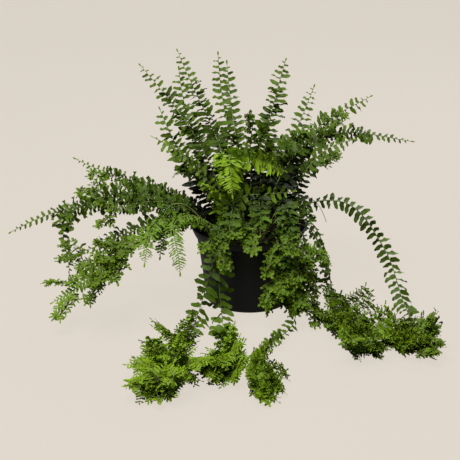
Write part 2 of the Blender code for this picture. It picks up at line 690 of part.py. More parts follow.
def leaflet_share(share, kind):
    """A leaflet's length along its rib, as a share of the longest."""
    growing = min(1.0, FIRST_SHARE + share * GROWING_SLOPE)
    passed = max(share - SHRINKING_FROM, 0) / (1 - SHRINKING_FROM)
    shrinking = 1 - (1 - SMALLEST_SHARE) * passed ** SHRINKING_POWER
    if kind in ("tuft", "tassel"):
        shrinking = max(shrinking, TASSEL_LEAST_SHARE)
    return growing * shrinking


def leaflet_tip(rib, k, side, fold, length):
    """The upper and lower point of the tip of the leaflet between two stations."""
    middle = (rib.places[k] + rib.places[k + 1]) / 2
    ahead, out, face = rib.ahead[k], rib.sides[k] * side, rib.faces[k]
    angle = math.radians(fold)
    along = math.cos(angle) * out + math.sin(angle) * face
    upward = math.cos(angle) * face - math.sin(angle) * out
    tip = middle + out * rib.widths[k] + along * length + ahead * length * LEAFLET_SWEEP
    return tip + upward * LEAFLET_TIP_HALF_DEPTH, tip - upward * LEAFLET_TIP_HALF_DEPTH


def leaflet_solid(rib, k, side, tips, grow):
    """The leaflet alone as a closed wedge, grown for a clearance test."""
    points = []
    for station in (k, k + 1):
        edge = rib.places[station] + rib.sides[station] * side * rib.widths[station]
        deep = rib.faces[station] * (rib.depths[station] + grow)
        points += [edge + deep, edge - deep]
    outward = unit(tips[0] - (points[0] + points[2]) / 2) * grow
    upward = unit(tips[0] - tips[1]) * grow
    points += [tips[0] + outward + upward, tips[1] + outward - upward]
    return np.array(points), list(WEDGE)


def outer_part(solid):
    """A leaflet without its innermost part, where it meets its neighbours at the rib."""
    points = solid[0].copy()
    middle = points[:4].mean(axis=0)
    for index, tip in ((0, 4), (2, 4), (1, 5), (3, 5)):
        points[index] += (points[tip] - points[index]) * OWN_START
        points[index] += (middle - solid[0][index]) * OWN_START / 2
    return points, solid[1]


def choose_leaflets(rib, longest, kind, trees, own_trees, draw):
    """Both rows of a rib's leaflets, each bent or shortened until it is clear of all else."""
    chosen = {}
    solids = []
    stem = tree_of([tube(rib, 0)])
    last = len(rib.places) - 1
    for k in range(rib.leafy, last):
        share = (k - rib.leafy) / max(last - rib.leafy, 1)
        for side in (1, -1):
            wave = draw.uniform(-FOLD_SPREAD, FOLD_SPREAD)
            length = longest * leaflet_share(share, kind) * draw.uniform(*LEAFLET_SPREAD)
            for change, shorter in FOLD_TRIES:
                tips = leaflet_tip(rib, k, side, wave + change, length * shorter)
                if min(tips[0][2], tips[1][2]) < LOWEST_LEAF:
                    continue
                if touches(leaflet_solid(rib, k, side, tips, LEAFLET_GAP), trees):
                    continue
                solid = leaflet_solid(rib, k, side, tips, 0)
                if touches(solid, own_trees) or touches(outer_part(solid), [stem, tree_of(solids)]):
                    continue
                chosen[k, side] = tips
                solids.append(solid)
                break
    return chosen, solids


def end_tips(rib, length):
    """The upper and lower point of the leaflet that ends a rib."""
    tip = rib.places[-1] + rib.ahead[-1] * length
    tip[2] = max(tip[2], LOWEST_LEAF + LEAFLET_TIP_HALF_DEPTH)
    upward = rib.faces[-1] * LEAFLET_TIP_HALF_DEPTH
    return tip + upward, tip - upward


def choose_end(rib, longest, trees):
    """The end leaflet's tip points, shortened until it is clear of all else."""
    wide = rib.sides[-1] * rib.widths[-1]
    deep = rib.faces[-1] * rib.depths[-1]
    base = rib.places[-1] + rib.ahead[-1] * RIB_GAP
    for share in END_LENGTHS:
        tips = end_tips(rib, longest * share)
        corners = [base + wide + deep, base + wide - deep, base - wide + deep, base - wide - deep]
        beyond = rib.ahead[-1] * LEAFLET_GAP
        solid = np.array(corners + [tips[0] + beyond, tips[1] + beyond]), list(WEDGE)
        if not touches(solid, trees):
            break
    return tips


def comb_blade(rib, leaflets, last_tips):
    """A rib and its leaflets as one closed skin, split alike on its two faces."""
    vertices, triangles = [], []
    last = len(rib.places) - 1
    for k in range(last + 1):
        wide, deep = rib.sides[k] * rib.widths[k], rib.faces[k] * rib.depths[k]
        vertices += [rib.places[k] + wide + deep, rib.places[k] - wide + deep,
                     rib.places[k] - wide - deep, rib.places[k] + wide - deep]
    triangles += [(0, 3, 2), (0, 2, 1)]
    for k in range(last):
        left, right, low_right, low_left = range(4 * k, 4 * k + 4)
        left2, right2, low_right2, low_left2 = range(4 * k + 4, 4 * k + 8)
        triangles += [(right, right2, left2), (right, left2, left)]
        triangles += [(low_right, low_left2, low_right2), (low_right, low_left, low_left2)]
        edges = ((1, left, left2, low_left, low_left2), (-1, right, right2, low_right, low_right2))
        for side, a, a2, b, b2 in edges:
            if (k, side) in leaflets:
                top = len(vertices)
                low = top + 1
                vertices += list(leaflets[k, side])
                skin = [(a, a2, top), (b, low, b2), (a, top, low), (a, low, b), (top, a2, b2), (top, b2, low)]
            else:
                skin = [(a, a2, b2), (a, b2, b)]
            triangles += skin if side == 1 else [face[::-1] for face in skin]
    left, right, low_right, low_left = range(4 * last, 4 * last + 4)
    top, low = len(vertices), len(vertices) + 1
    vertices += list(last_tips)
    triangles += [(right, top, left), (low_right, low_left, low)]
    triangles += [(left, top, low), (left, low, low_left), (top, right, low_right), (top, low_right, low)]
    return np.array(vertices), triangles


def fork_ribs(frond, rib, trees, draw):
    """The forked ribs of a crest or tassel, each tilted until it is clear of other fronds."""
    along = lengths_along(rib.places)
    tip = along[-1] + END_LEAFLET
    branches = []
    own = []
    for index, (back, angle, length) in enumerate(FORKS[frond.kind]):
        station = int(np.argmin(np.abs(along - (tip - back))))
        if station < rib.leafy:
            continue
        side = 1 if index % 2 else -1
        lift = draw.uniform(*BRANCH_LIFT[frond.kind])
        roll = draw.uniform(-BRANCH_ROLL, BRANCH_ROLL)
        for turn, more in BRANCH_TRIES:
            branch = branch_rib(rib, station, side, angle + turn, lift + more, roll, length)
            solid = tube(branch, RIB_GAP)
            lowest = min(solid[0][:, 2])
            beyond = (solid[0][8:], [tuple(i - 8 for i in t) for t in solid[1] if min(t) >= 8])
            if lowest < LOWEST_LEAF or touches(solid, trees):
                continue
            if own and beyond[1] and touches(beyond, [tree_of(own)]):
                continue
            branches.append(branch)
            own.append(tube(branch, RIB_GAP))
            break
    return branches


def coil_line(spot, height):
    """A young frond's stem, which ends in a flat coil wound inwards."""
    root = np.array([spot[0], spot[1], SOIL_TOP])
    points = [root - (0, 0, COIL_DEPTH)]
    points += [root + (0, 0, height * k / COIL_STEM_STEPS) for k in range(1, COIL_STEM_STEPS + 1)]
    centre = points[-1] + (COIL_OUTER, 0, 0)
    steps = round(COIL_TURNS * COIL_STEPS)
    for k in range(1, steps + 1):
        angle = math.pi - 2 * math.pi * COIL_TURNS * k / steps
        radius = COIL_OUTER + (COIL_INNER - COIL_OUTER) * k / steps
        points.append(centre + radius * np.array([math.cos(angle), 0, math.sin(angle)]))
    return np.array(points)


def round_tube(points, start_radius, end_radius, sides, first_side):
    """A round stem along a line, thinner towards its end."""
    ahead, across, faces = framed(points, np.array(first_side, float), 0)
    count = len(points)
    vertices = []
    for k in range(count):
        radius = start_radius + (end_radius - start_radius) * k / (count - 1)
        for s in range(sides):
            angle = 2 * math.pi * s / sides
            vertices.append(points[k] + radius * (math.cos(angle) * across[k] + math.sin(angle) * faces[k]))
    triangles = [(0, s + 1, s) for s in range(1, sides - 1)]
    for k in range(count - 1):
        for s in range(sides):
            a, b = k * sides + s, k * sides + (s + 1) % sides
            triangles += [(a, b, b + sides), (a, b + sides, a + sides)]
    end = (count - 1) * sides
    triangles += [(end, end + s, end + s + 1) for s in range(1, sides - 1)]
    return np.array(vertices), triangles


def stem_socket(points, radius):
    """The plain square hole round a round stem's foot."""
    first, second = points[0], points[0] + unit(points[1] - points[0]) * (ROOT_DEPTH + HOLE_PROUD)
    ahead = unit(second - first)
    side = unit(np.cross(ahead, (0, 1, 0)))
    half = radius + HOLE_GAP
    rib = Rib(np.array([first, second]), np.array([ahead, ahead]), np.array([side, side]),
              np.array([np.cross(ahead, side)] * 2), np.full(2, half), np.full(2, half), 1)
    return tube(rib, 0)


def build_stems():
    """The runners and the young coiled frond, with the holes that they stand in."""
    stems = []
    name, spot, height = CROZIER
    line = coil_line(spot, height)
    solid = round_tube(line, COIL_STEM_RADIUS, COIL_TIP_RADIUS, COIL_SIDES, (0, 1, 0))
    stems.append((name, "young", solid, stem_socket(line, COIL_STEM_RADIUS)))
    for name, spot, way in RUNNERS:
        line = smooth_line(spot, RUNNER_RISE, way, -RUNNER_RISE)[::RUNNER_STEP]
        side = (line[1] - line[0])[[1, 0, 2]] * (-1, 1, 0)
        solid = round_tube(line, RUNNER_RADIUS, RUNNER_RADIUS, RUNNER_SIDES, side)
        stems.append((name, "stalk", solid, stem_socket(line, RUNNER_RADIUS)))
    return stems


def solid_of(thing):
    """An object's vertices and triangles, for a search tree."""
    mesh = thing.data
    mesh.calc_loop_triangles()
    vertices = [tuple(vertex.co) for vertex in mesh.vertices]
    return vertices, [tuple(triangle.vertices) for triangle in mesh.loop_triangles]


def stand_ribs(fixed):
    """Every frond's main rib, bowed sideways where it would touch one that stands already."""
    ribs = []
    placed = list(fixed)
    for frond, root in zip(FRONDS, root_spots()):
        line = frond_line(frond, root)
        tree = tree_of(placed)
        for amount in SIDE_STEPS:
            rib = main_rib(frond, bowed(line, amount))
            solid = tube(rib, RIB_GAP)
            above = (solid[0][4:], [tuple(i - 4 for i in t) for t in solid[1] if min(t) >= 4])
            if not touches(above, [tree]):
                break
        ribs.append(rib)
        placed.append(tube(rib, RIB_GAP))
    return ribs


def socket_of(rib):
    """The plain hole that a stalk's foot stands in, along the foot's own line."""
    ahead = rib.ahead[0]
    foot = rib.places[0]
    top = foot + ahead * (ROOT_DEPTH + HOLE_PROUD)
    straight = rib._replace(places=np.array([foot, top]), ahead=np.array([ahead, ahead]),
                            sides=rib.sides[[0, 0]], faces=rib.faces[[0, 0]])
    return tube(straight, HOLE_GAP, 2)


def build_fronds(materials, ribs, fixed):
    """Each frond as one object: its leaflets chosen clear of the others, its forks joined."""
    tubes = [tube(rib, 0) for rib in ribs]
    forks = []
    for index, (frond, rib) in enumerate(zip(FRONDS, ribs)):
        draw = random.Random(SEED + index)
        others = tree_of(fixed + [t for k, t in enumerate(tubes) if k != index]
                         + [tube(b, 0) for group in forks for b in group])
        forks.append(fork_ribs(frond, rib, [others], draw))
    leaves = [[] for _ in FRONDS]
    for index, (frond, rib) in enumerate(zip(FRONDS, ribs)):
        draw = random.Random(SEED * 100 + index)
        around = list(fixed)
        for k in range(len(FRONDS)):
            if k != index:
                around += [tubes[k], *[tube(b, 0) for b in forks[k]], *leaves[k]]
        trees = [tree_of(around)]
        parts = []
        for member in [rib, *forks[index]]:
            is_main = member is rib
            others = [tube(b, 0) for b in forks[index] if b is not member]
            if not is_main:
                others.append(tubes[index])
            own = [tree_of(others + leaves[index])]
            longest = LEAFLET_LENGTH if is_main else BRANCH_LEAFLET
            longest_end = END_LEAFLET if is_main else END_LEAFLET * BRANCH_END_SHARE
            kind = frond.kind if is_main else "plain"
            chosen, solids = choose_leaflets(member, longest, kind, trees, own, draw)
            ends = choose_end(member, longest_end, trees + own + [tree_of(solids)])
            leaves[index] += solids
            parts.append(comb_blade(member, chosen, ends))
        thing = add_object(frond.name, mesh_of(frond.name, parts[0]), materials[frond.colour])
        if len(parts) > 1:
            group = bpy.data.collections.new("forks")
            bpy.context.scene.collection.children.link(group)
            for part in parts[1:]:
                group.objects.link(bpy.data.objects.new("fork", mesh_of("fork", part)))
            apply_boolean(thing, group, "UNION", "MANIFOLD")


def main():
    """Build the whole plant in its pot."""
    for thing in list(bpy.data.objects):
        bpy.data.objects.remove(thing)
    materials = {name: make_material(name) for name in COLOURS}
    pot = build_pot(materials)
    crown = build_crown(materials)
    stems = build_stems()
    standing = [solid_of(thing) for thing in (pot, crown)] + [stem[2] for stem in stems]
    ribs = stand_ribs(standing)
    holes = [socket_of(rib) for rib in ribs] + [stem[3] for stem in stems]
    holes.append(crown_socket())
    soil = build_soil(materials, holes)
    for name, colour, solid, hole in stems:
        add_object(name, mesh_of(name, solid), materials[colour])
    build_fronds(materials, ribs, standing + [solid_of(soil)])


main()
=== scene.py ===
"""A crested fern in a black nursery pot, dressed in fine leaves, plastic and soil."""

import math
import random
from collections import namedtuple

import bmesh
import bpy
import numpy as np
from bpy.props import FloatProperty, FloatVectorProperty, IntProperty, PointerProperty
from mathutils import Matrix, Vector, noise
from mathutils.bvhtree import BVHTree


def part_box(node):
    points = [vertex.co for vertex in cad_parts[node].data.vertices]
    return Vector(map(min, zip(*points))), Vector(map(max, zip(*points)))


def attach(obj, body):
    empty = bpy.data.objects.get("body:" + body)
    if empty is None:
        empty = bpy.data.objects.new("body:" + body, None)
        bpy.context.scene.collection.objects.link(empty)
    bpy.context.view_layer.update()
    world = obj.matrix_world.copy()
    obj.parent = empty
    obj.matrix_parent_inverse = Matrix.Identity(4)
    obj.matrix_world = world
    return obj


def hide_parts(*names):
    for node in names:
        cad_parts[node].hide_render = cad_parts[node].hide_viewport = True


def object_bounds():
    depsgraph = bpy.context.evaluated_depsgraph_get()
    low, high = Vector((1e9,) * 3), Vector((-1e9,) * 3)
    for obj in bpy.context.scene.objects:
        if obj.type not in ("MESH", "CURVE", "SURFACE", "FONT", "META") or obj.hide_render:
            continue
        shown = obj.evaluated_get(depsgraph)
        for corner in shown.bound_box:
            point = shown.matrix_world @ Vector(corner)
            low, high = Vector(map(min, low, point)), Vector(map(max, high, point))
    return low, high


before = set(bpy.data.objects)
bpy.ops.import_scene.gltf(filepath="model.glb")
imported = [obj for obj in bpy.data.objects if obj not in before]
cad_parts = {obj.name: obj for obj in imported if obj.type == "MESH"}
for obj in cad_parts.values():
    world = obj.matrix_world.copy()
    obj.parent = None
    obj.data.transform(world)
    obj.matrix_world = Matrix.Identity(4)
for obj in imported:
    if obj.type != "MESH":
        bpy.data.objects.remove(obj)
PACKED_LOW, PACKED_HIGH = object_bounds()

bl_info = {
    "name": "Potted crested fern",
    "version": (1, 0, 0),
    "blender": (4, 5, 0),
    "location": "3D View > Sidebar > Fern",
    "description": "Builds a crested fern with ruffled tassels in a black nursery pot",
    "category": "Add Mesh",
}

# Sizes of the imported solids, in metres
POT_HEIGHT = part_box("pot")[1].z
RIM_RADIUS = 0.076
BASE_RADIUS = 0.057
WALL_TOP_RADIUS = 0.0692
LIP_HEIGHT = 0.013
LIP_STEP = 0.0022
POT_WALL = 0.0015
POT_FLOOR = 0.002
DRAIN_COUNT = 4
DRAIN_RADIUS = 0.004
DRAIN_RING = 0.040
FOOT_STEP = 0.0015
FOOT_HEIGHT = 0.0022
WALL_STEPS = 8
LIP_TAPER = 0.0004
LIP_EDGE = 0.004
RIM_EDGE = 0.003

# The wall's broad and fine upright waves, where they rise and fade, and how far they draw it in
WAVE_FOOT = 0.006
WAVE_RISE = 0.03
WAVE_FADE = 0.02
WAVE_LEAST = 0.15
WAVE_DEPTH = 0.00035
RIPPLE_DEPTH = 0.0002
WAVE_SINK = 0.0003

# Soil, its shoulder under the surface, and the lumps on it
SOIL_TOP = 0.090
SOIL_SHOULDER = 0.004
SHOULDER_EASE = 0.0004
SURFACE_DEPTH = 0.001
SOIL_RINGS = 22
SOIL_SIDES = 72
LUMP_SCALE = 90
LUMP_HEIGHT = 0.0022
CLOD_SCALE = 3.1
CLOD_HEIGHT = 0.0009
LUMP_SINK = 0.0012

# Crown, the scaly rootstock that the stalks stand round
CROWN_SPOT = (0.003, 0.000)
CROWN_ROOM = 0.0115

# Stalks and ribs
ROOT_DEPTH = 0.012
ROOT_NEAR = 0.012
ROOT_FAR = 0.050
ROOT_EDGE = 0.055
ROOT_SPACING = 0.0085
SPACING_ROUNDS = 400
STEEP_RISE = 88
LOW_RISE = 50
STRAIGHT_FOOT = 0.006
STALK_HALF_WIDTH = 0.0009
STALK_HALF_DEPTH = 0.0008
RIB_HALF_WIDTH = 0.0006
RIB_HALF_DEPTH = 0.0005
TIP_HALF_WIDTH = 0.0004
BRANCH_HALF_WIDTH = 0.00045
BRANCH_HALF_DEPTH = 0.0004
STALK_STEP = 0.020
FACE_TURN_SHARE = 0.35
RIB_GAP = 0.0006

# Leaflets
BARE_SHARE = 0.16
BARE_LEAST = 0.010
BARE_MOST = 0.024
LEAFLET_PITCH = 0.0188
TIP_CROWDING = 0.38
LAST_PITCH_SHARE = 0.6
END_LEAFLET = 0.009

# Crests and tassels
BRANCH_PITCH = 0.0140
BRANCH_BARE = 0.006
BRANCH_BEND = 26
BRANCH_STEPS = 8
BRANCH_LIFT = {"crest": (0, 42), "ruffle": (0, 48), "tuft": (8, 64), "tassel": (8, 72)}
BRANCH_STEEPEST = 84
BRANCH_ROLL = 48
# The changes of a fork's angle and lift that are tried in turn, in degrees
BRANCH_TRIES = ((0, 0), (0, 22), (0, -22), (14, 12), (-14, 12), (14, -14), (-14, -14), (0, 40))
# How far each fork starts from the tip, its angle and its length
FORKS = {
    "plain": (),
    "crest": ((0.026, 42, 0.026), (0.013, 40, 0.024)),
    "ruffle": ((0.074, 52, 0.036), (0.058, 50, 0.040), (0.042, 46, 0.038), (0.024, 42, 0.034)),
    "tuft": (
        (0.066, 54, 0.030),
        (0.056, 52, 0.034),
        (0.046, 50, 0.036),
        (0.036, 48, 0.034),
        (0.026, 45, 0.030),
        (0.015, 40, 0.024),
    ),
    "tassel": (
        (0.132, 56, 0.042),
        (0.116, 55, 0.052),
        (0.100, 54, 0.056),
        (0.084, 52, 0.056),
        (0.068, 50, 0.052),
        (0.052, 48, 0.048),
        (0.038, 46, 0.042),
        (0.025, 42, 0.036),
        (0.012, 36, 0.028),
    ),
}

# How fronds lie on the floor, pass the rim and the wall, step aside and curve, and the random seed
LYING_HEIGHT = 0.005
LYING_SOFTNESS = 0.003
LOWEST_LEAF = 0.0008
RIM_ROOM = 0.006
RIM_PASS_HEIGHT = 0.012
WALL_ROOM = 0.007
SIDE_STEPS = (0, 0.003, -0.003, 0.006, -0.006, 0.009, -0.009, 0.012, -0.012)
START_PULL = 1.3
WAY_PULL = 1.0
END_PULL = 1.1
LINE_SAMPLES = 24
SEED = 27

# Runners and the young coiled frond
RUNNER_RADIUS = 0.0007
RUNNER_SIDES = 4
RUNNER_STEP = 4
RUNNER_RISE = 70
COIL_STEM_RADIUS = 0.0013
COIL_TIP_RADIUS = 0.0007
COIL_SIDES = 5
COIL_TURNS = 1.4
COIL_STEPS = 9
COIL_STEM_STEPS = 4
COIL_DEPTH = 0.0084
COIL_OUTER = 0.0075
COIL_INNER = 0.0022

# Room that a leaf's tip keeps from the soil, the pot and the floor, and how it is turned aside
LEAF_ROOM = 0.0012
FLOOR_ROOM = 0.2
STEER_ROUNDS = 8
STEER_PUSH = 0.45

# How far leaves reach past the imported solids, with a waved limit for those that lie low
REACH_ROOM = 0.006
REACH_LOW = np.array(PACKED_LOW) - (REACH_ROOM, REACH_ROOM, 0)
REACH_HIGH = np.array(PACKED_HIGH) + REACH_ROOM
EDGE_WAVE = 0.0075
EDGE_TURNS = 230.0
EDGE_TOP = 0.07

# Where shade is painted on the leaves deep inside the plant, and how dark it makes them
SHELTER_RADIUS = 0.080
SHELTER_LOW = 0.085
SHELTER_TOP = 0.190
INNER_PAINTED_SHADE = 2.4
PAINTED_SHADE_DARKEST = 0.12

# Leaves along a rib: where they start, how their lengths grow and shrink, and how they differ
LOW_LEAVES = 0.35
FIRST_LENGTH = 0.72
LENGTH_GROWTH = 3
TAPER_START = 0.55
TAPER_SPAN = 0.45
TAPER_LOSS = 0.42
TIP_START = 0.92
TIP_SPAN = 0.08
TIP_LOSS = 0.34
TIP_FRESH = 0.14
TIP_ROOM = 0.002
SWEEP_SWAY = 7
LIGHT_GAIN = 1.6
USUAL_TONE = 0.38
FROND_TONES = 0.12
LEAF_TONES = 0.38

# Sprigs: their ribs, where their small leaves start and end, and the height under which they lie flat
SPRIG_RADIUS = 0.00035
SPRIG_LEAN = 0.75
SPRIG_START = 0.8
SPRIG_END = 0.97
SPRIG_TAPER = 0.50
SPRIG_TONES = 0.3
FLAT_TOP = 0.012
FRESH_GAIN = 0.20

# Forks: their ribs, the share with crinkled sprigs, how their sprigs shrink, and the fan at their end
FORK_RADIUS = 0.0005
CRINKLED_SHARE = 0.22
FORK_CROWDING = 0.15
FORK_TAPER = 0.5
FORK_LIFT = 0.35
FAN_SPREAD = 38
FAN_LENGTH = 0.7

# The bounds of a filling fork's place in the tassel, its angles in degrees and its length
FILL_PLACE = (0.05, 0.7)
FILL_ANGLE = (15, 75)
FILL_LIFT = (15, 55)
FILL_ROLL = (-60, 60)
FILL_LENGTH = (0.7, 1.0)

# How many shapes each kind of blade has, the lobe at its foot, its fold and its thickness
BLADE_SHAPES = 3
BLADE_LOBE = 1.3
BLADE_FOLD = 0.12
BLADE_THICKNESS = 0.022

# The number of the crown's scales, the floor's light, the camera's place and aim, and the lamps' aim
CROWN_SCALES = 70
FLOOR_GLOW = 0.945
FLOOR_SHADE = 0.06
FLOOR_SHEEN = 0.17
CAMERA_PLACE = (-0.025, -1.25, 0.53)
CAMERA_AIM = (-0.025, 0.0, 0.095)
LIGHT_AIM = (0, 0, 0.1)

# A leaf blade's rows along its length, its half widths there, and how much it waves, droops, hooks to
# one side and is scalloped
Blade = namedtuple("Blade", "rows halves wave droop hook scallop")
LEFT, RIGHT, SLIM, CRISP = range(4)
BROAD_ROWS = (0.0, 0.12, 0.32, 0.55, 0.78, 0.93, 1.0)
BROAD_HALVES = (0.12, 0.20, 0.225, 0.215, 0.185, 0.12, 0.05)
BLADES = (
    Blade(BROAD_ROWS, BROAD_HALVES, 0.085, 0.30, 0.20, 0.12),
    Blade(BROAD_ROWS, BROAD_HALVES, 0.085, 0.30, -0.20, 0.12),
    Blade((0.0, 0.42, 0.80, 1.0), (0.17, 0.24, 0.225, 0.10), 0.09, 0.20, 0, 0.10),
    Blade((0.0, 0.28, 0.52, 0.80, 1.0), (0.17, 0.34, 0.26, 0.33, 0.12), 0.17, 0.30, 0, 0.22),
)

# How a frond carries its leaves: their spacing, length and width as shares of the usual ones, the
# angles at which they lift, fold and twist, how far they turn to the light, and their spread in size
Habit = namedtuple("Habit", "pitch crowd length ratio lifts fold twist light sweep spread crisp")
SPRAY = Habit(0.96, 0.15, 0.97, 0.92, (-12,), 18, 32, 26, 0.22, (0.85, 1.08), False)
DENSE = Habit(0.74, 0.0, 0.98, 0.78, (26, -22), 34, 58, 22, 0.2, (0.55, 1.16), False)
WILD = Habit(0.60, 0.0, 0.90, 0.64, (30, -28), 44, 62, 20, 0.32, (0.40, 1.25), True)
SPARSE = Habit(0.86, 0.1, 0.66, 1.1, (-6,), 16, 24, 20, 0.25, (0.85, 1.05), False)
TRAIL = Habit(1.12, 0.0, 1.04, 0.92, (-14,), 26, 44, 20, 0.18, (0.78, 1.1), False)
HANG = Habit(0.98, 0.0, 0.90, 0.98, (-10,), 24, 40, 10, 0.22, (0.78, 1.08), False)
BROAD = Habit(0.50, 0.2, 0.94, 0.60, (24, -20), 36, 52, 10, 0.34, (0.5, 1.18), True)
FINE = Habit(0.38, 0.1, 1.02, 0.44, (-10,), 20, 34, 12, 0.34, (0.80, 1.08), False)
PLUME = Habit(0.60, 0.2, 0.90, 0.95, (10,), 18, 30, 12, 0.3, (0.85, 1.05), False)

# A sprig's small leaves: their length, spacing, width, and how they fold, twist, sweep, droop and arch
Comb = namedtuple("Comb", "leaf pitch ratio fold twist sweep droop arch bend blade")
FEATHER = Comb(0.0080, 0.0034, 0.74, 10, 22, 0.50, -16, 0.40, 20, SLIM)
CRINKLE = Comb(0.0072, 0.0040, 0.95, 34, 50, 0.45, -6, 0.25, 30, CRISP)

# How each kind of frond is dressed: its stretches of leaves, where its sprigs start from the tip, their
# length, spacing, lift and roll, how many forks fill it out and how long they are, and its youth
Style = namedtuple("Style", "start parts tail sprig spacing lift roll comb extra reach fresh")
STYLES = {
    "spray": Style(0, ((0.55, DENSE), (1, SPRAY)), 0, 0, 0, 0, 0, None, 0, 0, 0.04),
    "thick": Style(0, ((0.80, DENSE), (1, SPRAY)), 0, 0.012, 0.0075, 30, 40, CRINKLE, 0, 0, 0.04),
    "fine": Style(0.2, ((1, FINE),), 0, 0.012, 0.008, 20, 20, FEATHER, 0, 0, 0.50),
    "wild": Style(0, ((0.78, WILD), (1, SPARSE)), 0, 0.012, 0.0075, 34, 40, CRINKLE, 0, 0, 0.03),
    "drape": Style(0.54, ((1, BROAD),), 0, 0.012, 0.0075, 34, 40, CRINKLE, 0, 0, 0.0),
    "crest": Style(0.2, ((0.6, DENSE), (1, SPRAY)), 0, 0.012, 0.0075, 30, 40, CRINKLE, 0, 0, 0.03),
    "ruffle": Style(0.2, ((1, WILD),), 0.085, 0.013, 0.0070, 40, 50, CRINKLE, 5, 0.028, 0.05),
    "mane": Style(0, ((0.45, WILD), (1, PLUME)), 0, 0.012, 0.0070, 24, 26, FEATHER, 0, 0, 0.22),
    "trail": Style(0.1, ((1, HANG),), 0.076, 0.0180, 0.0066, 12, 12, FEATHER, 7, 0.032, 0.06),
    "tuft": Style(0.1, ((0.5, TRAIL), (1, WILD)), 0.092, 0.0195, 0.0066, 14, 14, FEATHER, 9, 0.032, 0.16),
    "tassel": Style(0.1, ((0.5, TRAIL), (1, WILD)), 0.155, 0.0195, 0.0066, 14, 14, FEATHER, 12, 0.036, 0.16),
}
YOUNG_STYLES = ("fine", "mane")

Frond = namedtuple("Frond", "name forks style rise tip_rise face way tone fresh size")
Rib = namedtuple("Rib", "places ahead sides faces widths depths")
Course = namedtuple("Course", "points ahead sides faces lengths")
Stand = namedtuple("Stand", "rib course bare leafy")
Fork = namedtuple("Fork", "rib course")


def entry(name, forks, style, rise, tip_rise, face, *way, tone=USUAL_TONE, fresh=0, size=1):
    """An entry of the table below, with its points turned from millimetres into metres."""
    points = [tuple(number / 1000 for number in point) for point in way]
    return Frond("frond_" + name, forks, style, rise, tip_rise, face, points, tone, fresh, size)


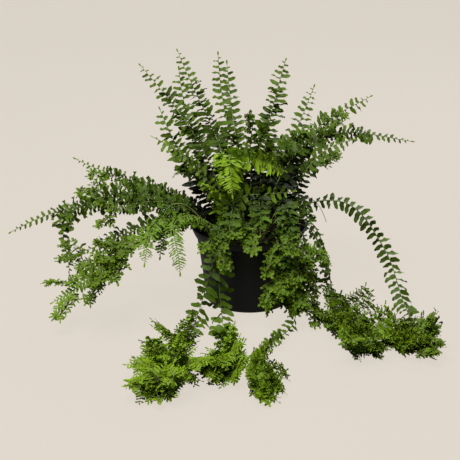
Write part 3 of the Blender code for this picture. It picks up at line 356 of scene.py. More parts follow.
# Each frond's forks and style, its rise at the root and at the tip in degrees, how far its blade
# turns to the front, the points that it passes on its way to its tip in millimetres, and the tone,
# the added youth and the size of its leaves where they are not the usual ones
FRONDS = (
    entry("front_1", "tassel", "tassel", 58, 0, 0, (-44, -92, 90), (-66, -102, 16), (-98, -312, 10),
          fresh=0.18, size=1.05),
    entry("front_2", "tuft", "tuft", 55, 0, 0, (-38, -94, 70), (-35, -102, 16), (-24, -252, 10),
          fresh=0.12, size=1.05),
    entry("front_3", "crest", "drape", 66, -80, 0, (-4, -78, 132), (-5, -106, 111), size=0.85),
    entry("front_4", "crest", "drape", 62, -80, 0, (-34, -80, 134), (-42, -116, 102), size=0.8),
    entry("front_5", "ruffle", "ruffle", 55, -85, 0, (37, -92, 100), (38, -102, 34)),
    entry("front_6", "ruffle", "ruffle", 55, -85, 0, (62, -82, 95), (62, -97, 40), size=0.75),
    entry("front_7", "crest", "drape", 52, -85, 0, (46, -108, 50)),
    entry("front_8", "crest", "drape", 60, -80, 0, (40, -80, 134), (54, -108, 102)),
    entry("front_9", "tuft", "tuft", 58, 0, 0, (57.5, -92, 62), (55, -110, 13), (20, -176, 10),
          (-2, -289, 10), fresh=0.14, size=0.62),
    entry("front_10", "plain", "drape", 76, -80, 0, (-20, -66, 150), (-26, -102, 118)),
    entry("front_11", "plain", "drape", 78, -80, 0, (10, -62, 158), (12, -100, 126)),
    entry("front_12", "plain", "drape", 76, -80, 0, (40, -56, 152), (50, -90, 120)),
    entry("front_13", "plain", "drape", 74, -75, 0, (60, -36, 148), (78, -54, 120), size=0.85),
    entry("right_1", "tassel", "tassel", 60, -4, 0, (89, -50, 95), (101, -72, 34), (122, -206, 10),
          tone=0.13, size=0.7),
    entry("right_2", "ruffle", "ruffle", 50, 0, 0, (78, -66, 66), (86, -80, 16), (106, -142, 10),
          fresh=0.06, size=0.8),
    entry("right_3", "tuft", "trail", 62, -6, 70, (118, 0, 135), (177, -12, 76), (198, -62, 20),
          (204, -196, 10), tone=0.06),
    entry("right_4", "tuft", "tuft", 60, 0, 0, (98, -26, 80), (112, -44, 18), (172, -184, 10),
          tone=0.16, fresh=0.08, size=0.84),
    entry("left_1", "plain", "wild", 42, 24, 45, (-234, 63, 175), tone=0.03, size=0.85),
    entry("left_2", "crest", "wild", 55, 0, 45, (-212, 37, 146), tone=0.01, size=0.85),
    entry("left_3", "plain", "wild", 50, -30, 50, (-308, -27, 102), tone=0.06, size=0.9),
    entry("left_4", "plain", "wild", 54, -80, 45, (-225, -60, 138), (-231, -62, 53), tone=0.11),
    entry("left_5", "crest", "wild", 55, -35, 40, (-188, -69, 129), tone=0.03, size=0.85),
    entry("left_6", "ruffle", "mane", 55, -20, 30, (-243, -113, 40), size=0.85),
    entry("left_7", "crest", "wild", 52, -8, 30, (-230, -84, 89), tone=0.11, size=0.85),
    entry("left_8", "ruffle", "ruffle", 50, -65, 20, (-186, -126, 66), tone=0.16, size=0.8),
    entry("left_9", "plain", "fine", 52, -55, 10, (-112, -104, 141), (-124, -166, 112), fresh=-0.34,
          size=0.8),
    entry("left_10", "plain", "fine", 55, -75, 10, (-90, -94, 140), (-84, -150, 94), fresh=-0.32,
          size=0.8),
    entry("left_11", "plain", "drape", 52, -70, 10, (-49, -122, 104), size=0.65),
    entry("left_12", "plain", "drape", 50, -65, 20, (-96, -74, 152), (-110, -112, 100), size=0.7),
    entry("top_1", "plain", "thick", 74, 42, 40, (-144, 83, 298), tone=-0.04),
    entry("top_2", "plain", "thick", 80, 55, 30, (-96, 114, 312), tone=-0.01),
    entry("top_3", "plain", "thick", 66, 84, 30, (-93, 78, 294), tone=-0.01),
    entry("top_4", "plain", "spray", 80, 84, 20, (-41, 99, 310), tone=-0.01),
    entry("top_5", "plain", "spray", 86, 80, 20, (-29, 60, 305), tone=0.01),
    entry("top_6", "plain", "thick", 80, 50, 20, (50, 100, 302), tone=0.01, size=1.15),
    entry("top_7", "crest", "crest", 84, 58, 30, (6, 24, 240), tone=0.05, size=0.9),
    entry("top_8", "plain", "spray", 72, 58, 30, (89, 100, 266), tone=0.01),
    entry("top_9", "plain", "thick", 70, 22, 40, (81, 38, 213), (163, 76, 258), tone=-0.01),
    entry("top_10", "plain", "wild", 80, -10, 40, (82, 4, 214), (211, 18, 211), tone=-0.03),
    entry("top_11", "plain", "spray", 65, 12, 40, (130, -30, 225), tone=0.01),
    entry("top_12", "crest", "wild", 76, -8, 40, (66, 22, 220), (108, 33, 224)),
    entry("mid_1", "plain", "thick", 74, 30, 20, (-119, -43, 231), tone=0.03, fresh=0.1),
    entry("mid_2", "plain", "thick", 66, 70, 30, (-115, 20, 252), tone=0.03, size=1.12),
    entry("mid_3", "plain", "fine", 86, -70, 0, (-26, -50, 208), (-22, -92, 172), size=1.3),
    entry("mid_4", "plain", "fine", 80, -15, 10, (-20, -28, 198), (42, -70, 196), fresh=0.06, size=1.25),
    entry("mid_5", "plain", "spray", 60, 10, 20, (-30, -44, 142), (52, -46, 162), fresh=0.22),
    entry("mid_6", "plain", "fine", 70, 20, 10, (-56, -60, 175)),
    entry("back_1", "plain", "thick", 70, -20, 0, (100, 150, 190)),
    entry("back_2", "crest", "wild", 60, -50, 0, (30, 190, 140)),
    entry("back_3", "plain", "thick", 68, -25, 0, (-70, 180, 185)),
    entry("back_4", "plain", "wild", 60, -40, 0, (-106, 142, 128)),
    entry("back_5", "crest", "wild", 60, -40, 0, (112, 122, 146)),
    entry("back_6", "crest", "crest", 55, 0, 0, (30, 96, 90), (34, 120, 16), (20, 200, 10)),
    entry("back_7", "crest", "wild", 55, -60, 0, (-30, 96, 90), (-36, 130, 16)),
)

# A runner's root, the points that it passes and its tip, in metres
RUNNERS = (
    ("runner_1", (0.046, 0.022), ((0.071, 0.034, 0.128), (0.094, 0.050, 0.112))),
    ("runner_2", (0.049, 0.010), ((0.078, 0.020, 0.132), (0.104, 0.018, 0.100))),
)

# The young coiled frond's name, its root and the height of its coil above the soil
CROZIER = ("crozier", (0.010, -0.016), 0.036)


def pot_radius(heights):
    """The pot's outer radius at each height."""
    share = np.clip(heights, 0, None) / (POT_HEIGHT - LIP_HEIGHT)
    wall = BASE_RADIUS + (WALL_TOP_RADIUS - BASE_RADIUS) * share
    return np.where(heights >= POT_HEIGHT - LIP_HEIGHT, RIM_RADIUS, wall)


def radii_of(points):
    """Each point's distance from the pot's axis."""
    return np.hypot(points[:, 0], points[:, 1])


def unit(vector):
    """The vector with a length of one."""
    vector = np.asarray(vector, float)
    return vector / np.linalg.norm(vector)


def unit_rows(rows):
    """Each row with a length of one."""
    return rows / np.maximum(np.linalg.norm(rows, axis=1), 1e-9)[:, None]


def square_to(rows, others):
    """Each row turned square to its partner among the others, with a length of one."""
    return unit_rows(rows - others * (rows * others).sum(axis=1)[:, None])


def direction(heading, rise):
    """A unit vector that points along a heading, in radians, and rises by a number of degrees."""
    up = math.radians(rise)
    return np.array([math.cos(up) * math.cos(heading), math.cos(up) * math.sin(heading), math.sin(up)])


def heading_between(start, end):
    """The heading from one point to the next, in radians."""
    return math.atan2(end[1] - start[1], end[0] - start[0])


def solid_of(thing):
    """An object's vertices and triangles, for a search tree."""
    mesh = thing.data
    mesh.calc_loop_triangles()
    vertices = [tuple(vertex.co) for vertex in mesh.vertices]
    return vertices, [tuple(triangle.vertices) for triangle in mesh.loop_triangles]


def root_spots():
    """Steep fronds root near the middle of the soil and low ones near its edge, none too close."""
    spots = []
    for frond in FRONDS:
        share = min(max((STEEP_RISE - frond.rise) / (STEEP_RISE - LOW_RISE), 0), 1)
        radius = ROOT_NEAR + (ROOT_FAR - ROOT_NEAR) * share
        heading = heading_between((0, 0), frond.way[0])
        spots.append([radius * math.cos(heading), radius * math.sin(heading)])
    spots = np.array(spots)
    fixed = [(np.array(CROWN_SPOT), CROWN_ROOM), (np.array(CROZIER[1]), ROOT_SPACING)]
    fixed += [(np.array(spot), ROOT_SPACING) for name, spot, way in RUNNERS]
    for _ in range(SPACING_ROUNDS):
        for i in range(len(spots)):
            for other, room in fixed:
                gap = spots[i] - other
                distance = max(np.linalg.norm(gap), 1e-6)
                if distance < room:
                    spots[i] += gap / distance * (room - distance)
            for j in range(i):
                gap = spots[i] - spots[j]
                distance = max(np.linalg.norm(gap), 1e-6)
                if distance < ROOT_SPACING:
                    push = gap / distance * (ROOT_SPACING - distance) / 2
                    spots[i] += push
                    spots[j] -= push
            distance = np.linalg.norm(spots[i])
            if distance > ROOT_EDGE:
                spots[i] *= ROOT_EDGE / distance
    return spots


def hermite(start, start_pull, end, end_pull, samples):
    """Points of a smooth span between two points, without its last one."""
    t = np.linspace(0, 1, samples, endpoint=False)[:, None]
    return ((2 * t ** 3 - 3 * t ** 2 + 1) * start + (t ** 3 - 2 * t ** 2 + t) * start_pull
            + (3 * t ** 2 - 2 * t ** 3) * end + (t ** 3 - t ** 2) * end_pull)


def smooth_line(root, rise, way, tip_rise):
    """A smooth line from a straight foot in the soil through the way points to the tip."""
    points = [np.array([root[0], root[1], SOIL_TOP])] + [np.array(p, float) for p in way]
    spans = [np.linalg.norm(b - a) for a, b in zip(points, points[1:])]
    start = direction(heading_between(points[0], points[1]), rise)
    above = points[0] + start * STRAIGHT_FOOT
    tangents = [start]
    for a, b, c in zip(points, points[1:], points[2:]):
        tangents.append(unit(unit(b - a) + unit(c - b)))
    tangents.append(direction(heading_between(points[-2], points[-1]), tip_rise))
    knots = [above] + points[1:]
    pulls = [START_PULL] + [WAY_PULL] * (len(points) - 2) + [END_PULL]
    line = [(points[0] - start * ROOT_DEPTH)[None]]
    for k, span in enumerate(spans):
        line.append(hermite(knots[k], tangents[k] * span * pulls[k],
                            knots[k + 1], tangents[k + 1] * span * pulls[k + 1], LINE_SAMPLES))
    line.append(knots[-1][None])
    return np.concatenate(line)


def laid(points):
    """The points with none lower than a frond lies on the surface below."""
    raised = points.copy()
    over = (points[:, 2] - LYING_HEIGHT) / LYING_SOFTNESS
    raised[:, 2] = LYING_HEIGHT + LYING_SOFTNESS * np.logaddexp(0, over)
    return raised


def clear_of_wall(points):
    """The points after the rim, moved out where they would run into the pot's wall."""
    moved = points.copy()
    radii = radii_of(points)
    least = pot_radius(points[:, 2]) + WALL_ROOM
    past_rim = np.maximum.accumulate(radii > RIM_RADIUS + RIM_ROOM / 2)
    close = past_rim & (points[:, 2] <= POT_HEIGHT + RIM_ROOM) & (radii < least)
    moved[close, :2] *= (least[close] / radii[close])[:, None]
    return moved


def rim_pass(root, target):
    """The point where a low frond crosses over the rim on its way to the target."""
    start = np.array(root)
    step = np.array(target[:2]) - start
    radius = RIM_RADIUS - POT_WALL
    a, b, c = step @ step, 2 * start @ step, start @ start - radius ** 2
    share = (-b + math.sqrt(b * b - 4 * a * c)) / (2 * a)
    spot = start + step * share
    return (spot[0], spot[1], POT_HEIGHT + RIM_PASS_HEIGHT)


def frond_line(frond, root):
    """The line of a frond's stalk and rib, led over the rim and along what it lies on."""
    line = smooth_line(root, frond.rise, frond.way, frond.tip_rise)
    radii = radii_of(line)
    past_rim = np.maximum.accumulate(radii > RIM_RADIUS + RIM_ROOM)
    near = (radii > RIM_RADIUS - 2 * RIM_ROOM) & ~past_rim
    if near.any() and line[near][:, 2].min() < POT_HEIGHT + RIM_ROOM:
        way = [rim_pass(root, frond.way[0]), *frond.way]
        line = smooth_line(root, frond.rise, way, frond.tip_rise)
    return laid(clear_of_wall(line))


def bowed(line, amount):
    """The line bowed sideways in its middle, with both its ends kept."""
    lengths = lengths_along(line)
    share = lengths / lengths[-1]
    heading = heading_between(line[0], line[-1])
    side = np.array([-math.sin(heading), math.cos(heading), 0])
    free = np.clip((lengths - ROOT_DEPTH - STRAIGHT_FOOT) / STALK_STEP, 0, 1)
    return line + (amount * np.sin(math.pi * share) * free)[:, None] * side


def lengths_along(points):
    """The length from the first point to each point."""
    steps = np.linalg.norm(np.diff(points, axis=0), axis=1)
    return np.concatenate([[0], np.cumsum(steps)])


def framed(points, first_side, turn):
    """The direction, side and upper face along a line, turned about it by a growing angle."""
    ahead = unit_rows(np.gradient(points, axis=0))
    side = first_side
    sides = []
    for forward in ahead:
        side = unit(side - forward * (side @ forward))
        sides.append(side)
    sides = np.array(sides)
    faces = np.cross(ahead, sides)
    share = lengths_along(points) / lengths_along(points)[-1]
    angles = math.radians(turn) * np.clip(share / FACE_TURN_SHARE, 0, 1)
    cosine, sine = np.cos(angles)[:, None], np.sin(angles)[:, None]
    return ahead, sides * cosine - faces * sine, faces * cosine + sides * sine


def sample(values, lengths, stations):
    """Rows of values read off at the stations along a line."""
    return np.stack([np.interp(stations, lengths, values[:, axis]) for axis in range(3)], axis=1)


def rings_joined(rings, sides):
    """The triangles of a closed solid made of rings of points."""
    triangles = [(0, s + 1, s) for s in range(1, sides - 1)]
    for k in range(rings - 1):
        for s in range(sides):
            a, b = k * sides + s, k * sides + (s + 1) % sides
            triangles += [(a, b, b + sides), (a, b + sides, a + sides)]
    end = (rings - 1) * sides
    return triangles + [(end, end + s, end + s + 1) for s in range(1, sides - 1)]


def tube(rib, grow):
    """The rib as a plain four-sided solid, grown on every side."""
    count = len(rib.places)
    vertices = []
    for k in range(count):
        wide = rib.sides[k] * (rib.widths[k] + grow)
        deep = rib.faces[k] * (rib.depths[k] + grow)
        back = -grow if k == 0 else grow if k == count - 1 else 0
        middle = rib.places[k] + rib.ahead[k] * back
        vertices += [middle + wide + deep, middle - wide + deep, middle - wide - deep, middle + wide - deep]
    return np.array(vertices), rings_joined(count, 4)


def beyond(solid, rings):
    """A four-sided solid without its first rings."""
    vertices, triangles = solid
    first = 4 * rings
    return vertices[first:], [tuple(i - first for i in t) for t in triangles if min(t) >= first]


def round_tube(points, start_radius, end_radius, sides, first_side):
    """A round stem along a line, thinner towards its end."""
    _, across, faces = framed(points, np.array(first_side, float), 0)
    count = len(points)
    vertices = []
    for k in range(count):
        radius = start_radius + (end_radius - start_radius) * k / (count - 1)
        for s in range(sides):
            angle = 2 * math.pi * s / sides
            vertices.append(points[k] + radius * (math.cos(angle) * across[k] + math.sin(angle) * faces[k]))
    return np.array(vertices), rings_joined(count, sides)


def tree_of(solids):
    """A search tree over a list of solids."""
    vertices, triangles = [], []
    for points, faces in solids:
        first = len(vertices)
        vertices += [tuple(p) for p in points]
        triangles += [tuple(index + first for index in face) for face in faces]
    return BVHTree.FromPolygons(vertices, triangles, all_triangles=True)


def touches(solid, tree):
    """Whether a solid meets what a search tree holds."""
    return bool(tree_of([solid]).overlap(tree))


def coil_line(spot, height, detail=COIL_STEPS):
    """A young frond's stem, which ends in a flat coil wound inwards."""
    root = np.array([spot[0], spot[1], SOIL_TOP])
    points = [root - (0, 0, COIL_DEPTH)]
    points += [root + (0, 0, height * k / COIL_STEM_STEPS) for k in range(1, COIL_STEM_STEPS + 1)]
    centre = points[-1] + (COIL_OUTER, 0, 0)
    steps = round(COIL_TURNS * detail)
    for k in range(1, steps + 1):
        angle = math.pi - 2 * math.pi * COIL_TURNS * k / steps
        radius = COIL_OUTER + (COIL_INNER - COIL_OUTER) * k / steps
        points.append(centre + radius * np.array([math.cos(angle), 0, math.sin(angle)]))
    return np.array(points)


def runner_line(spot, way):
    """The line of a runner."""
    return smooth_line(spot, RUNNER_RISE, way, -RUNNER_RISE)


def course_of(points, first_side, turn):
    """A line with its direction, side and upper face at every point."""
    ahead, sides, faces = framed(points, first_side, turn)
    return Course(points, ahead, sides, faces, lengths_along(points))


def rows_at(course, stations):
    """Places, directions, sides and upper faces at the stations along a course."""
    rows = [sample(course.points, course.lengths, stations)]
    for values in (course.ahead, course.sides, course.faces):
        rows.append(unit_rows(sample(values, course.lengths, stations)))
    return rows


def rib_on(course, stations, widths, depths):
    """A rib with its frame at each station of a course."""
    return Rib(*rows_at(course, stations), widths, depths)


def stand_of(frond, line):
    """A frond's stalk and main rib, with stations closer together towards the tip."""
    total = lengths_along(line)[-1]
    stations = [0.0, ROOT_DEPTH + STRAIGHT_FOOT]
    bare = stations[1] + min(max(BARE_SHARE * total, BARE_LEAST), BARE_MOST)
    pieces = max(round((bare - stations[1]) / STALK_STEP), 1)
    stations += list(np.linspace(stations[1], bare, pieces + 1)[1:])
    leafy = len(stations) - 1
    end = total - END_LEAFLET
    here = bare
    while here < end - LEAFLET_PITCH * LAST_PITCH_SHARE:
        share = (here - bare) / (end - bare)
        here = min(here + LEAFLET_PITCH * (1 - TIP_CROWDING * share ** 2), end)
        stations.append(here)
    stations = np.array(stations)
    share = np.clip((stations - bare) / (total - bare), 0, 1)
    rib_widths = RIB_HALF_WIDTH + (TIP_HALF_WIDTH - RIB_HALF_WIDTH) * share
    rib_depths = RIB_HALF_DEPTH + (TIP_HALF_WIDTH - RIB_HALF_DEPTH) * share
    widths = np.where(stations <= bare, STALK_HALF_WIDTH, rib_widths)
    depths = np.where(stations <= bare, STALK_HALF_DEPTH, rib_depths)
    heading = heading_between(line[0], line[1])
    first_side = np.array([-math.sin(heading), math.cos(heading), 0])
    facing = -1 if math.cos(heading_between(line[0], line[-1])) > 0 else 1
    course = course_of(line, first_side, frond.face * facing)
    return Stand(rib_on(course, stations, widths, depths), course, bare, leafy)


def fork_of(start, outward, angle, lift, roll, length):
    """A forked rib that leaves its parent at an angle and bends forward as it goes."""
    place, ahead, side, face = start
    points = [place]
    out = side * outward
    tilt = math.radians(min(lift, BRANCH_STEEPEST))
    for k in range(BRANCH_STEPS):
        turn = math.radians(angle - BRANCH_BEND * k / BRANCH_STEPS)
        level = math.cos(turn) * ahead + math.sin(turn) * out
        points.append(points[-1] + (math.cos(tilt) * level + math.sin(tilt) * face) * length / BRANCH_STEPS)
    points = np.array(points)
    points[1:] = laid(points[1:])
    stations = [0.0, BRANCH_BARE]
    while stations[-1] < length - BRANCH_PITCH - RIB_GAP:
        stations.append(stations[-1] + BRANCH_PITCH)
    count = len(stations)
    first_side = side * math.cos(turn) - ahead * outward * math.sin(turn)
    course = course_of(points, first_side, roll)
    widths, depths = np.full(count, BRANCH_HALF_WIDTH), np.full(count, BRANCH_HALF_DEPTH)
    return Fork(rib_on(course, np.array(stations), widths, depths), course)


def forks_of(frond, stand, tree, draw):
    """The forked ribs of a crest or tassel, each tilted until it is clear of other fronds."""
    along = lengths_along(stand.rib.places)
    tip = along[-1] + END_LEAFLET
    forks = []
    own = []
    for index, (back, angle, length) in enumerate(FORKS[frond.forks]):
        station = int(np.argmin(np.abs(along - (tip - back))))
        if station < stand.leafy:
            continue
        start = [values[station] for values in stand.rib[:4]]
        outward = 1 if index % 2 else -1
        lift = draw.uniform(*BRANCH_LIFT[frond.forks])
        roll = draw.uniform(-BRANCH_ROLL, BRANCH_ROLL)
        for turn, more in BRANCH_TRIES:
            fork = fork_of(start, outward, angle + turn, lift + more, roll, length)
            solid = tube(fork.rib, RIB_GAP)
            free = beyond(solid, 2)
            if min(solid[0][:, 2]) < LOWEST_LEAF or touches(solid, tree):
                continue
            if own and free[1] and touches(free, tree_of(own)):
                continue
            forks.append(fork)
            own.append(solid)
            break
    return forks


def stand_all(standing):
    """Every frond's main rib, bowed sideways where it would touch one that stands already."""
    stands = []
    placed = list(standing)
    for frond, root in zip(FRONDS, root_spots()):
        line = frond_line(frond, root)
        tree = tree_of(placed)
        for amount in SIDE_STEPS:
            stand = stand_of(frond, bowed(line, amount))
            solid = tube(stand.rib, RIB_GAP)
            if not touches(beyond(solid, 1), tree):
                break
        stands.append(stand)
        placed.append(solid)
    return stands


def grow_skeleton():
    """Every frond's stand and forks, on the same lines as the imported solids."""
    standing = [solid_of(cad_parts[name]) for name in ("pot", "crown")]
    coil = coil_line(*CROZIER[1:])
    standing.append(round_tube(coil, COIL_STEM_RADIUS, COIL_TIP_RADIUS, COIL_SIDES, (0, 1, 0)))
    for name, spot, way in RUNNERS:
        line = runner_line(spot, way)[::RUNNER_STEP]
        side = (line[1] - line[0])[[1, 0, 2]] * (-1, 1, 0)
        standing.append(round_tube(line, RUNNER_RADIUS, RUNNER_RADIUS, RUNNER_SIDES, side))
    stands = stand_all(standing)
    tubes = [tube(stand.rib, 0) for stand in stands]
    fixed = standing + [solid_of(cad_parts["soil"])]
    forks = []
    for index, (frond, stand) in enumerate(zip(FRONDS, stands)):
        others = fixed + tubes[:index] + tubes[index + 1:]
        others += [tube(fork.rib, 0) for group in forks for fork in group]
        forks.append(forks_of(frond, stand, tree_of(others), random.Random(SEED + index)))
    return stands, forks


class Foliage:
    """The ribs and the leaf places of one frond, gathered before its leaves are grown."""

    def __init__(self, old=False):
        # Whether shade is painted on the leaves that lie deep inside the plant
        self.old = old
        self.points = []
        self.edges = []
        self.thick = []
        self.rib_fresh = []
        self.leaves = []

    def add_rib(self, points, start, end, fresh):
        """Add a rib that tapers from one radius to another."""
        first = len(self.points)
        count = len(points)
        self.points += [tuple(point) for point in points]
        self.edges += [(first + k, first + k + 1) for k in range(count - 1)]
        self.thick += [start + (end - start) * k / (count - 1) for k in range(count)]
        self.rib_fresh += [fresh] * count

    def add_leaves(self, places, outs, normals, lengths, ratios, family, tone, fresh):
        """Add leaves by their places, directions, upper faces and sizes."""
        count = len(places)
        if count:
            # Leaves deep inside the plant get painted shade: their tone drops, and their freshness fades with
            # it
            inner_shade = painted_shade_depth(places) if self.old else 0
            looks = (lengths, ratios, family, tone - INNER_PAINTED_SHADE * inner_shade, fresh * (1 - inner_shade))
            rows = [np.broadcast_to(np.asarray(values, float), (count,)) for values in looks]
            self.leaves.append(np.column_stack([places, outs, normals, *rows]))


def painted_shade_depth(places):
    """How deep inside the plant places lie, where shade is painted on the leaves."""
    rise = np.clip((SHELTER_TOP - places[:, 2]) / (SHELTER_TOP - SHELTER_LOW), 0, 1)
    near = np.exp(-(radii_of(places) / SHELTER_RADIUS) ** 6)
    return near * np.sqrt(rise) * (places[:, 2] > SHELTER_LOW)


def steered(places, outs, lengths):
    """Leaf directions turned aside where a tip would enter the soil, the pot or the floor."""
    outs = unit_rows(outs)
    inside = radii_of(places) < RIM_RADIUS
    away = unit_rows(places * (1, 1, 0))
    for _ in range(STEER_ROUNDS):
        tips = places + outs * lengths[:, None]
        radii = radii_of(tips)
        height = tips[:, 2]
        low = height < LEAF_ROOM + FLOOR_ROOM * lengths
        low |= inside & (radii < RIM_RADIUS) & (height < SOIL_TOP + LEAF_ROOM)
        low |= inside & (radii > WALL_TOP_RADIUS - LEAF_ROOM) & (height < POT_HEIGHT + LEAF_ROOM)
        hit = ~inside & (height < POT_HEIGHT + LEAF_ROOM) & (radii < pot_radius(height) + LEAF_ROOM)
        wave = 1 + np.sin(EDGE_TURNS * (tips[:, 1::-1] + tips[:, 2:]))
        room = np.zeros_like(tips)
        room[:, :2] = EDGE_WAVE * wave * (tips[:, 2:] < EDGE_TOP)
        inward = (tips < REACH_LOW + room).astype(float) - (tips > REACH_HIGH - room)
        if not (low.any() or hit.any() or inward.any()):
            break
        outs = outs + low[:, None] * np.array([0, 0, STEER_PUSH])
        outs = unit_rows(outs + (hit[:, None] * away + inward) * STEER_PUSH)
    return outs


def spaced(start, end, pitch, crowding):
    """Stations from start to end, closer together towards the end."""
    stations = []
    here = start
    while here < end:
        stations.append(here)
        share = (here - start) / (end - start)
        here += pitch * (1 - crowding * share ** 2)
    return np.array(stations)


def sway(draw, count, most):
    """Small random turns in radians, as a column."""
    return np.radians([draw.uniform(-most, most) for _ in range(count)])[:, None]


def shares(draw, count, least, most):
    """Random shares between two bounds."""
    return np.array([draw.uniform(least, most) for _ in range(count)])


def leaf_share(share):
    """A leaf's length along its rib, as a share of the longest."""
    growing = np.minimum(1.0, FIRST_LENGTH + share * LENGTH_GROWTH)
    late = np.clip((share - TAPER_START) / TAPER_SPAN, 0, 1) ** 1.5
    last = np.clip((share - TIP_START) / TIP_SPAN, 0, 1)
    return growing * (1 - (TAPER_LOSS * late + TIP_LOSS * last))


def set_leaves(foliage, course, stations, side, lengths, habit, tone, fresh, draw):
    """Leaves along one side of a course, in the way that the frond carries them."""
    count = len(stations)
    if count == 0:
        return
    places, ahead, sides, faces = rows_at(course, stations)
    for lift in habit.lifts:
        sized = lengths * shares(draw, count, *habit.spread)
        fold = sway(draw, count, habit.fold) + math.radians(lift)
        sweep = habit.sweep + sway(draw, count, SWEEP_SWAY)
        outs = sides * side * np.cos(fold) + faces * np.sin(fold) + ahead * sweep
        outs = steered(places, outs, sized)
        turn = math.radians(habit.light) * np.clip(ahead[:, 2:] * LIGHT_GAIN, -1, 1)
        turn = turn + sway(draw, count, habit.twist)
        normals = faces * np.cos(turn) + ahead * np.sin(turn)
        shade = tone + shares(draw, count, -LEAF_TONES, LEAF_TONES)
        blade = CRISP if habit.crisp else RIGHT if side == 1 else LEFT
        foliage.add_leaves(places, outs, normals, sized, habit.ratio, blade, shade, fresh)


def set_sprigs(foliage, places, outs, normals, lengths, comb, tone, fresh, draw):
    """Short side ribs that arch over, each with two rows of small leaves and one at its tip."""
    count = len(places)
    if count == 0:
        return
    outs = steered(places, outs, lengths)
    normals = square_to(normals, outs)
    cross = np.cross(normals, outs)
    bend = np.sin(sway(draw, count, comb.bend))
    flat = (places[:, 2] < FLAT_TOP) | (radii_of(places) < RIM_RADIUS)
    arch = np.where(flat, 0.0, comb.arch * shares(draw, count, 0.5, 1.5))[:, None]
    lean = cross * bend - normals * arch

    def spot(share):
        spots = places + (outs * share + lean * share ** 2) * lengths[:, None]
        return np.clip(spots, (*REACH_LOW[:2], LEAF_ROOM), REACH_HIGH)

    for line in zip(spot(0), spot(0.5), spot(1)):
        foliage.add_rib(line, SPRIG_RADIUS, SPRIG_RADIUS * 0.6, fresh)
    for k in range(int(max(lengths) / comb.pitch)):
        share = (k + SPRIG_START) * comb.pitch / lengths
        keep = share < SPRIG_END
        if not keep.any():
            continue
        share = share[:, None]
        here = spot(share)
        onward = unit_rows(outs + lean * 2 * share)
        above = unit_rows(normals + outs * arch * 2 * share)
        for side in (1, -1):
            size = comb.leaf * (1.04 - SPRIG_TAPER * share[:, 0] ** 2) * shares(draw, count, 0.86, 1.1)
            fold = sway(draw, count, comb.fold) + math.radians(comb.droop)
            out = cross * side * np.cos(fold) + above * np.sin(fold) + onward * comb.sweep
            out = steered(here, out, size)
            twist = sway(draw, count, comb.twist)
            normal = above * np.cos(twist) + onward * np.sin(twist)
            shade = tone + shares(draw, count, -SPRIG_TONES, SPRIG_TONES)
            youth = fresh + FRESH_GAIN * share[:, 0]
            foliage.add_leaves(here[keep], out[keep], normal[keep], size[keep], comb.ratio, comb.blade,
                               shade[keep], youth[keep])
    size = np.full(count, comb.leaf * 0.7)
    foliage.add_leaves(spot(1.0), steered(spot(1.0), outs, size), normals, size, comb.ratio, comb.blade,
                       tone, fresh + FRESH_GAIN)


def dress_fork(foliage, fork, style, scale, middle, tone, fresh, draw):
    """A forked rib with rows of sprigs that face out from the tassel's middle, and a fan at its end."""
    course = fork.course
    comb = CRINKLE if draw.random() < CRINKLED_SHARE else style.comb
    total = course.lengths[-1]
    foliage.add_rib(course.points, FORK_RADIUS, FORK_RADIUS * 0.7, fresh)
    reach = style.sprig * scale
    for outward, upward, shift in ((1, 0, 0.0), (-1, 0, 0.5), (0, 1, 0.25)):
        pitch = style.spacing * (2 if upward else 1)
        stations = spaced(BRANCH_BARE * 0.5 + shift * pitch, total, pitch, FORK_CROWDING)
        count = len(stations)
        if count == 0:
            continue
        places, ahead, sides, faces = rows_at(course, stations)
        length = reach * (1.0 - FORK_TAPER * (stations / total) ** 2) * shares(draw, count, 0.75, 1.1)
        outer = unit_rows(places - middle)
        lift = sway(draw, count, style.lift)
        flip = np.array([draw.choice((-1, 1)) for _ in range(count)])[:, None]
        level = sides * outward if outward else sides * flip * 0.6 + outer * 0.8
        outs = level * np.cos(lift) + outer * np.sin(lift) + ahead * SPRIG_LEAN
        lean = sway(draw, count, style.roll)
        upper = outer + faces * FORK_LIFT + np.array([0, 0, FORK_LIFT])
        normals = upper * np.cos(lean) + level * np.sin(lean)
        gain = FRESH_GAIN * 0.5 * stations.mean() / total
        set_sprigs(foliage, places, outs, normals, length, comb, tone, fresh + gain, draw)
    places, ahead, sides, faces = rows_at(course, np.full(3, total))
    spread = np.radians([-FAN_SPREAD, 0, FAN_SPREAD])[:, None]
    outs = ahead * np.cos(spread) + sides * np.sin(spread)
    normals = unit_rows(places - middle) + faces
    set_sprigs(foliage, places, outs, normals, np.full(3, reach * FAN_LENGTH), comb, tone,
               fresh + FRESH_GAIN * 0.6, draw)


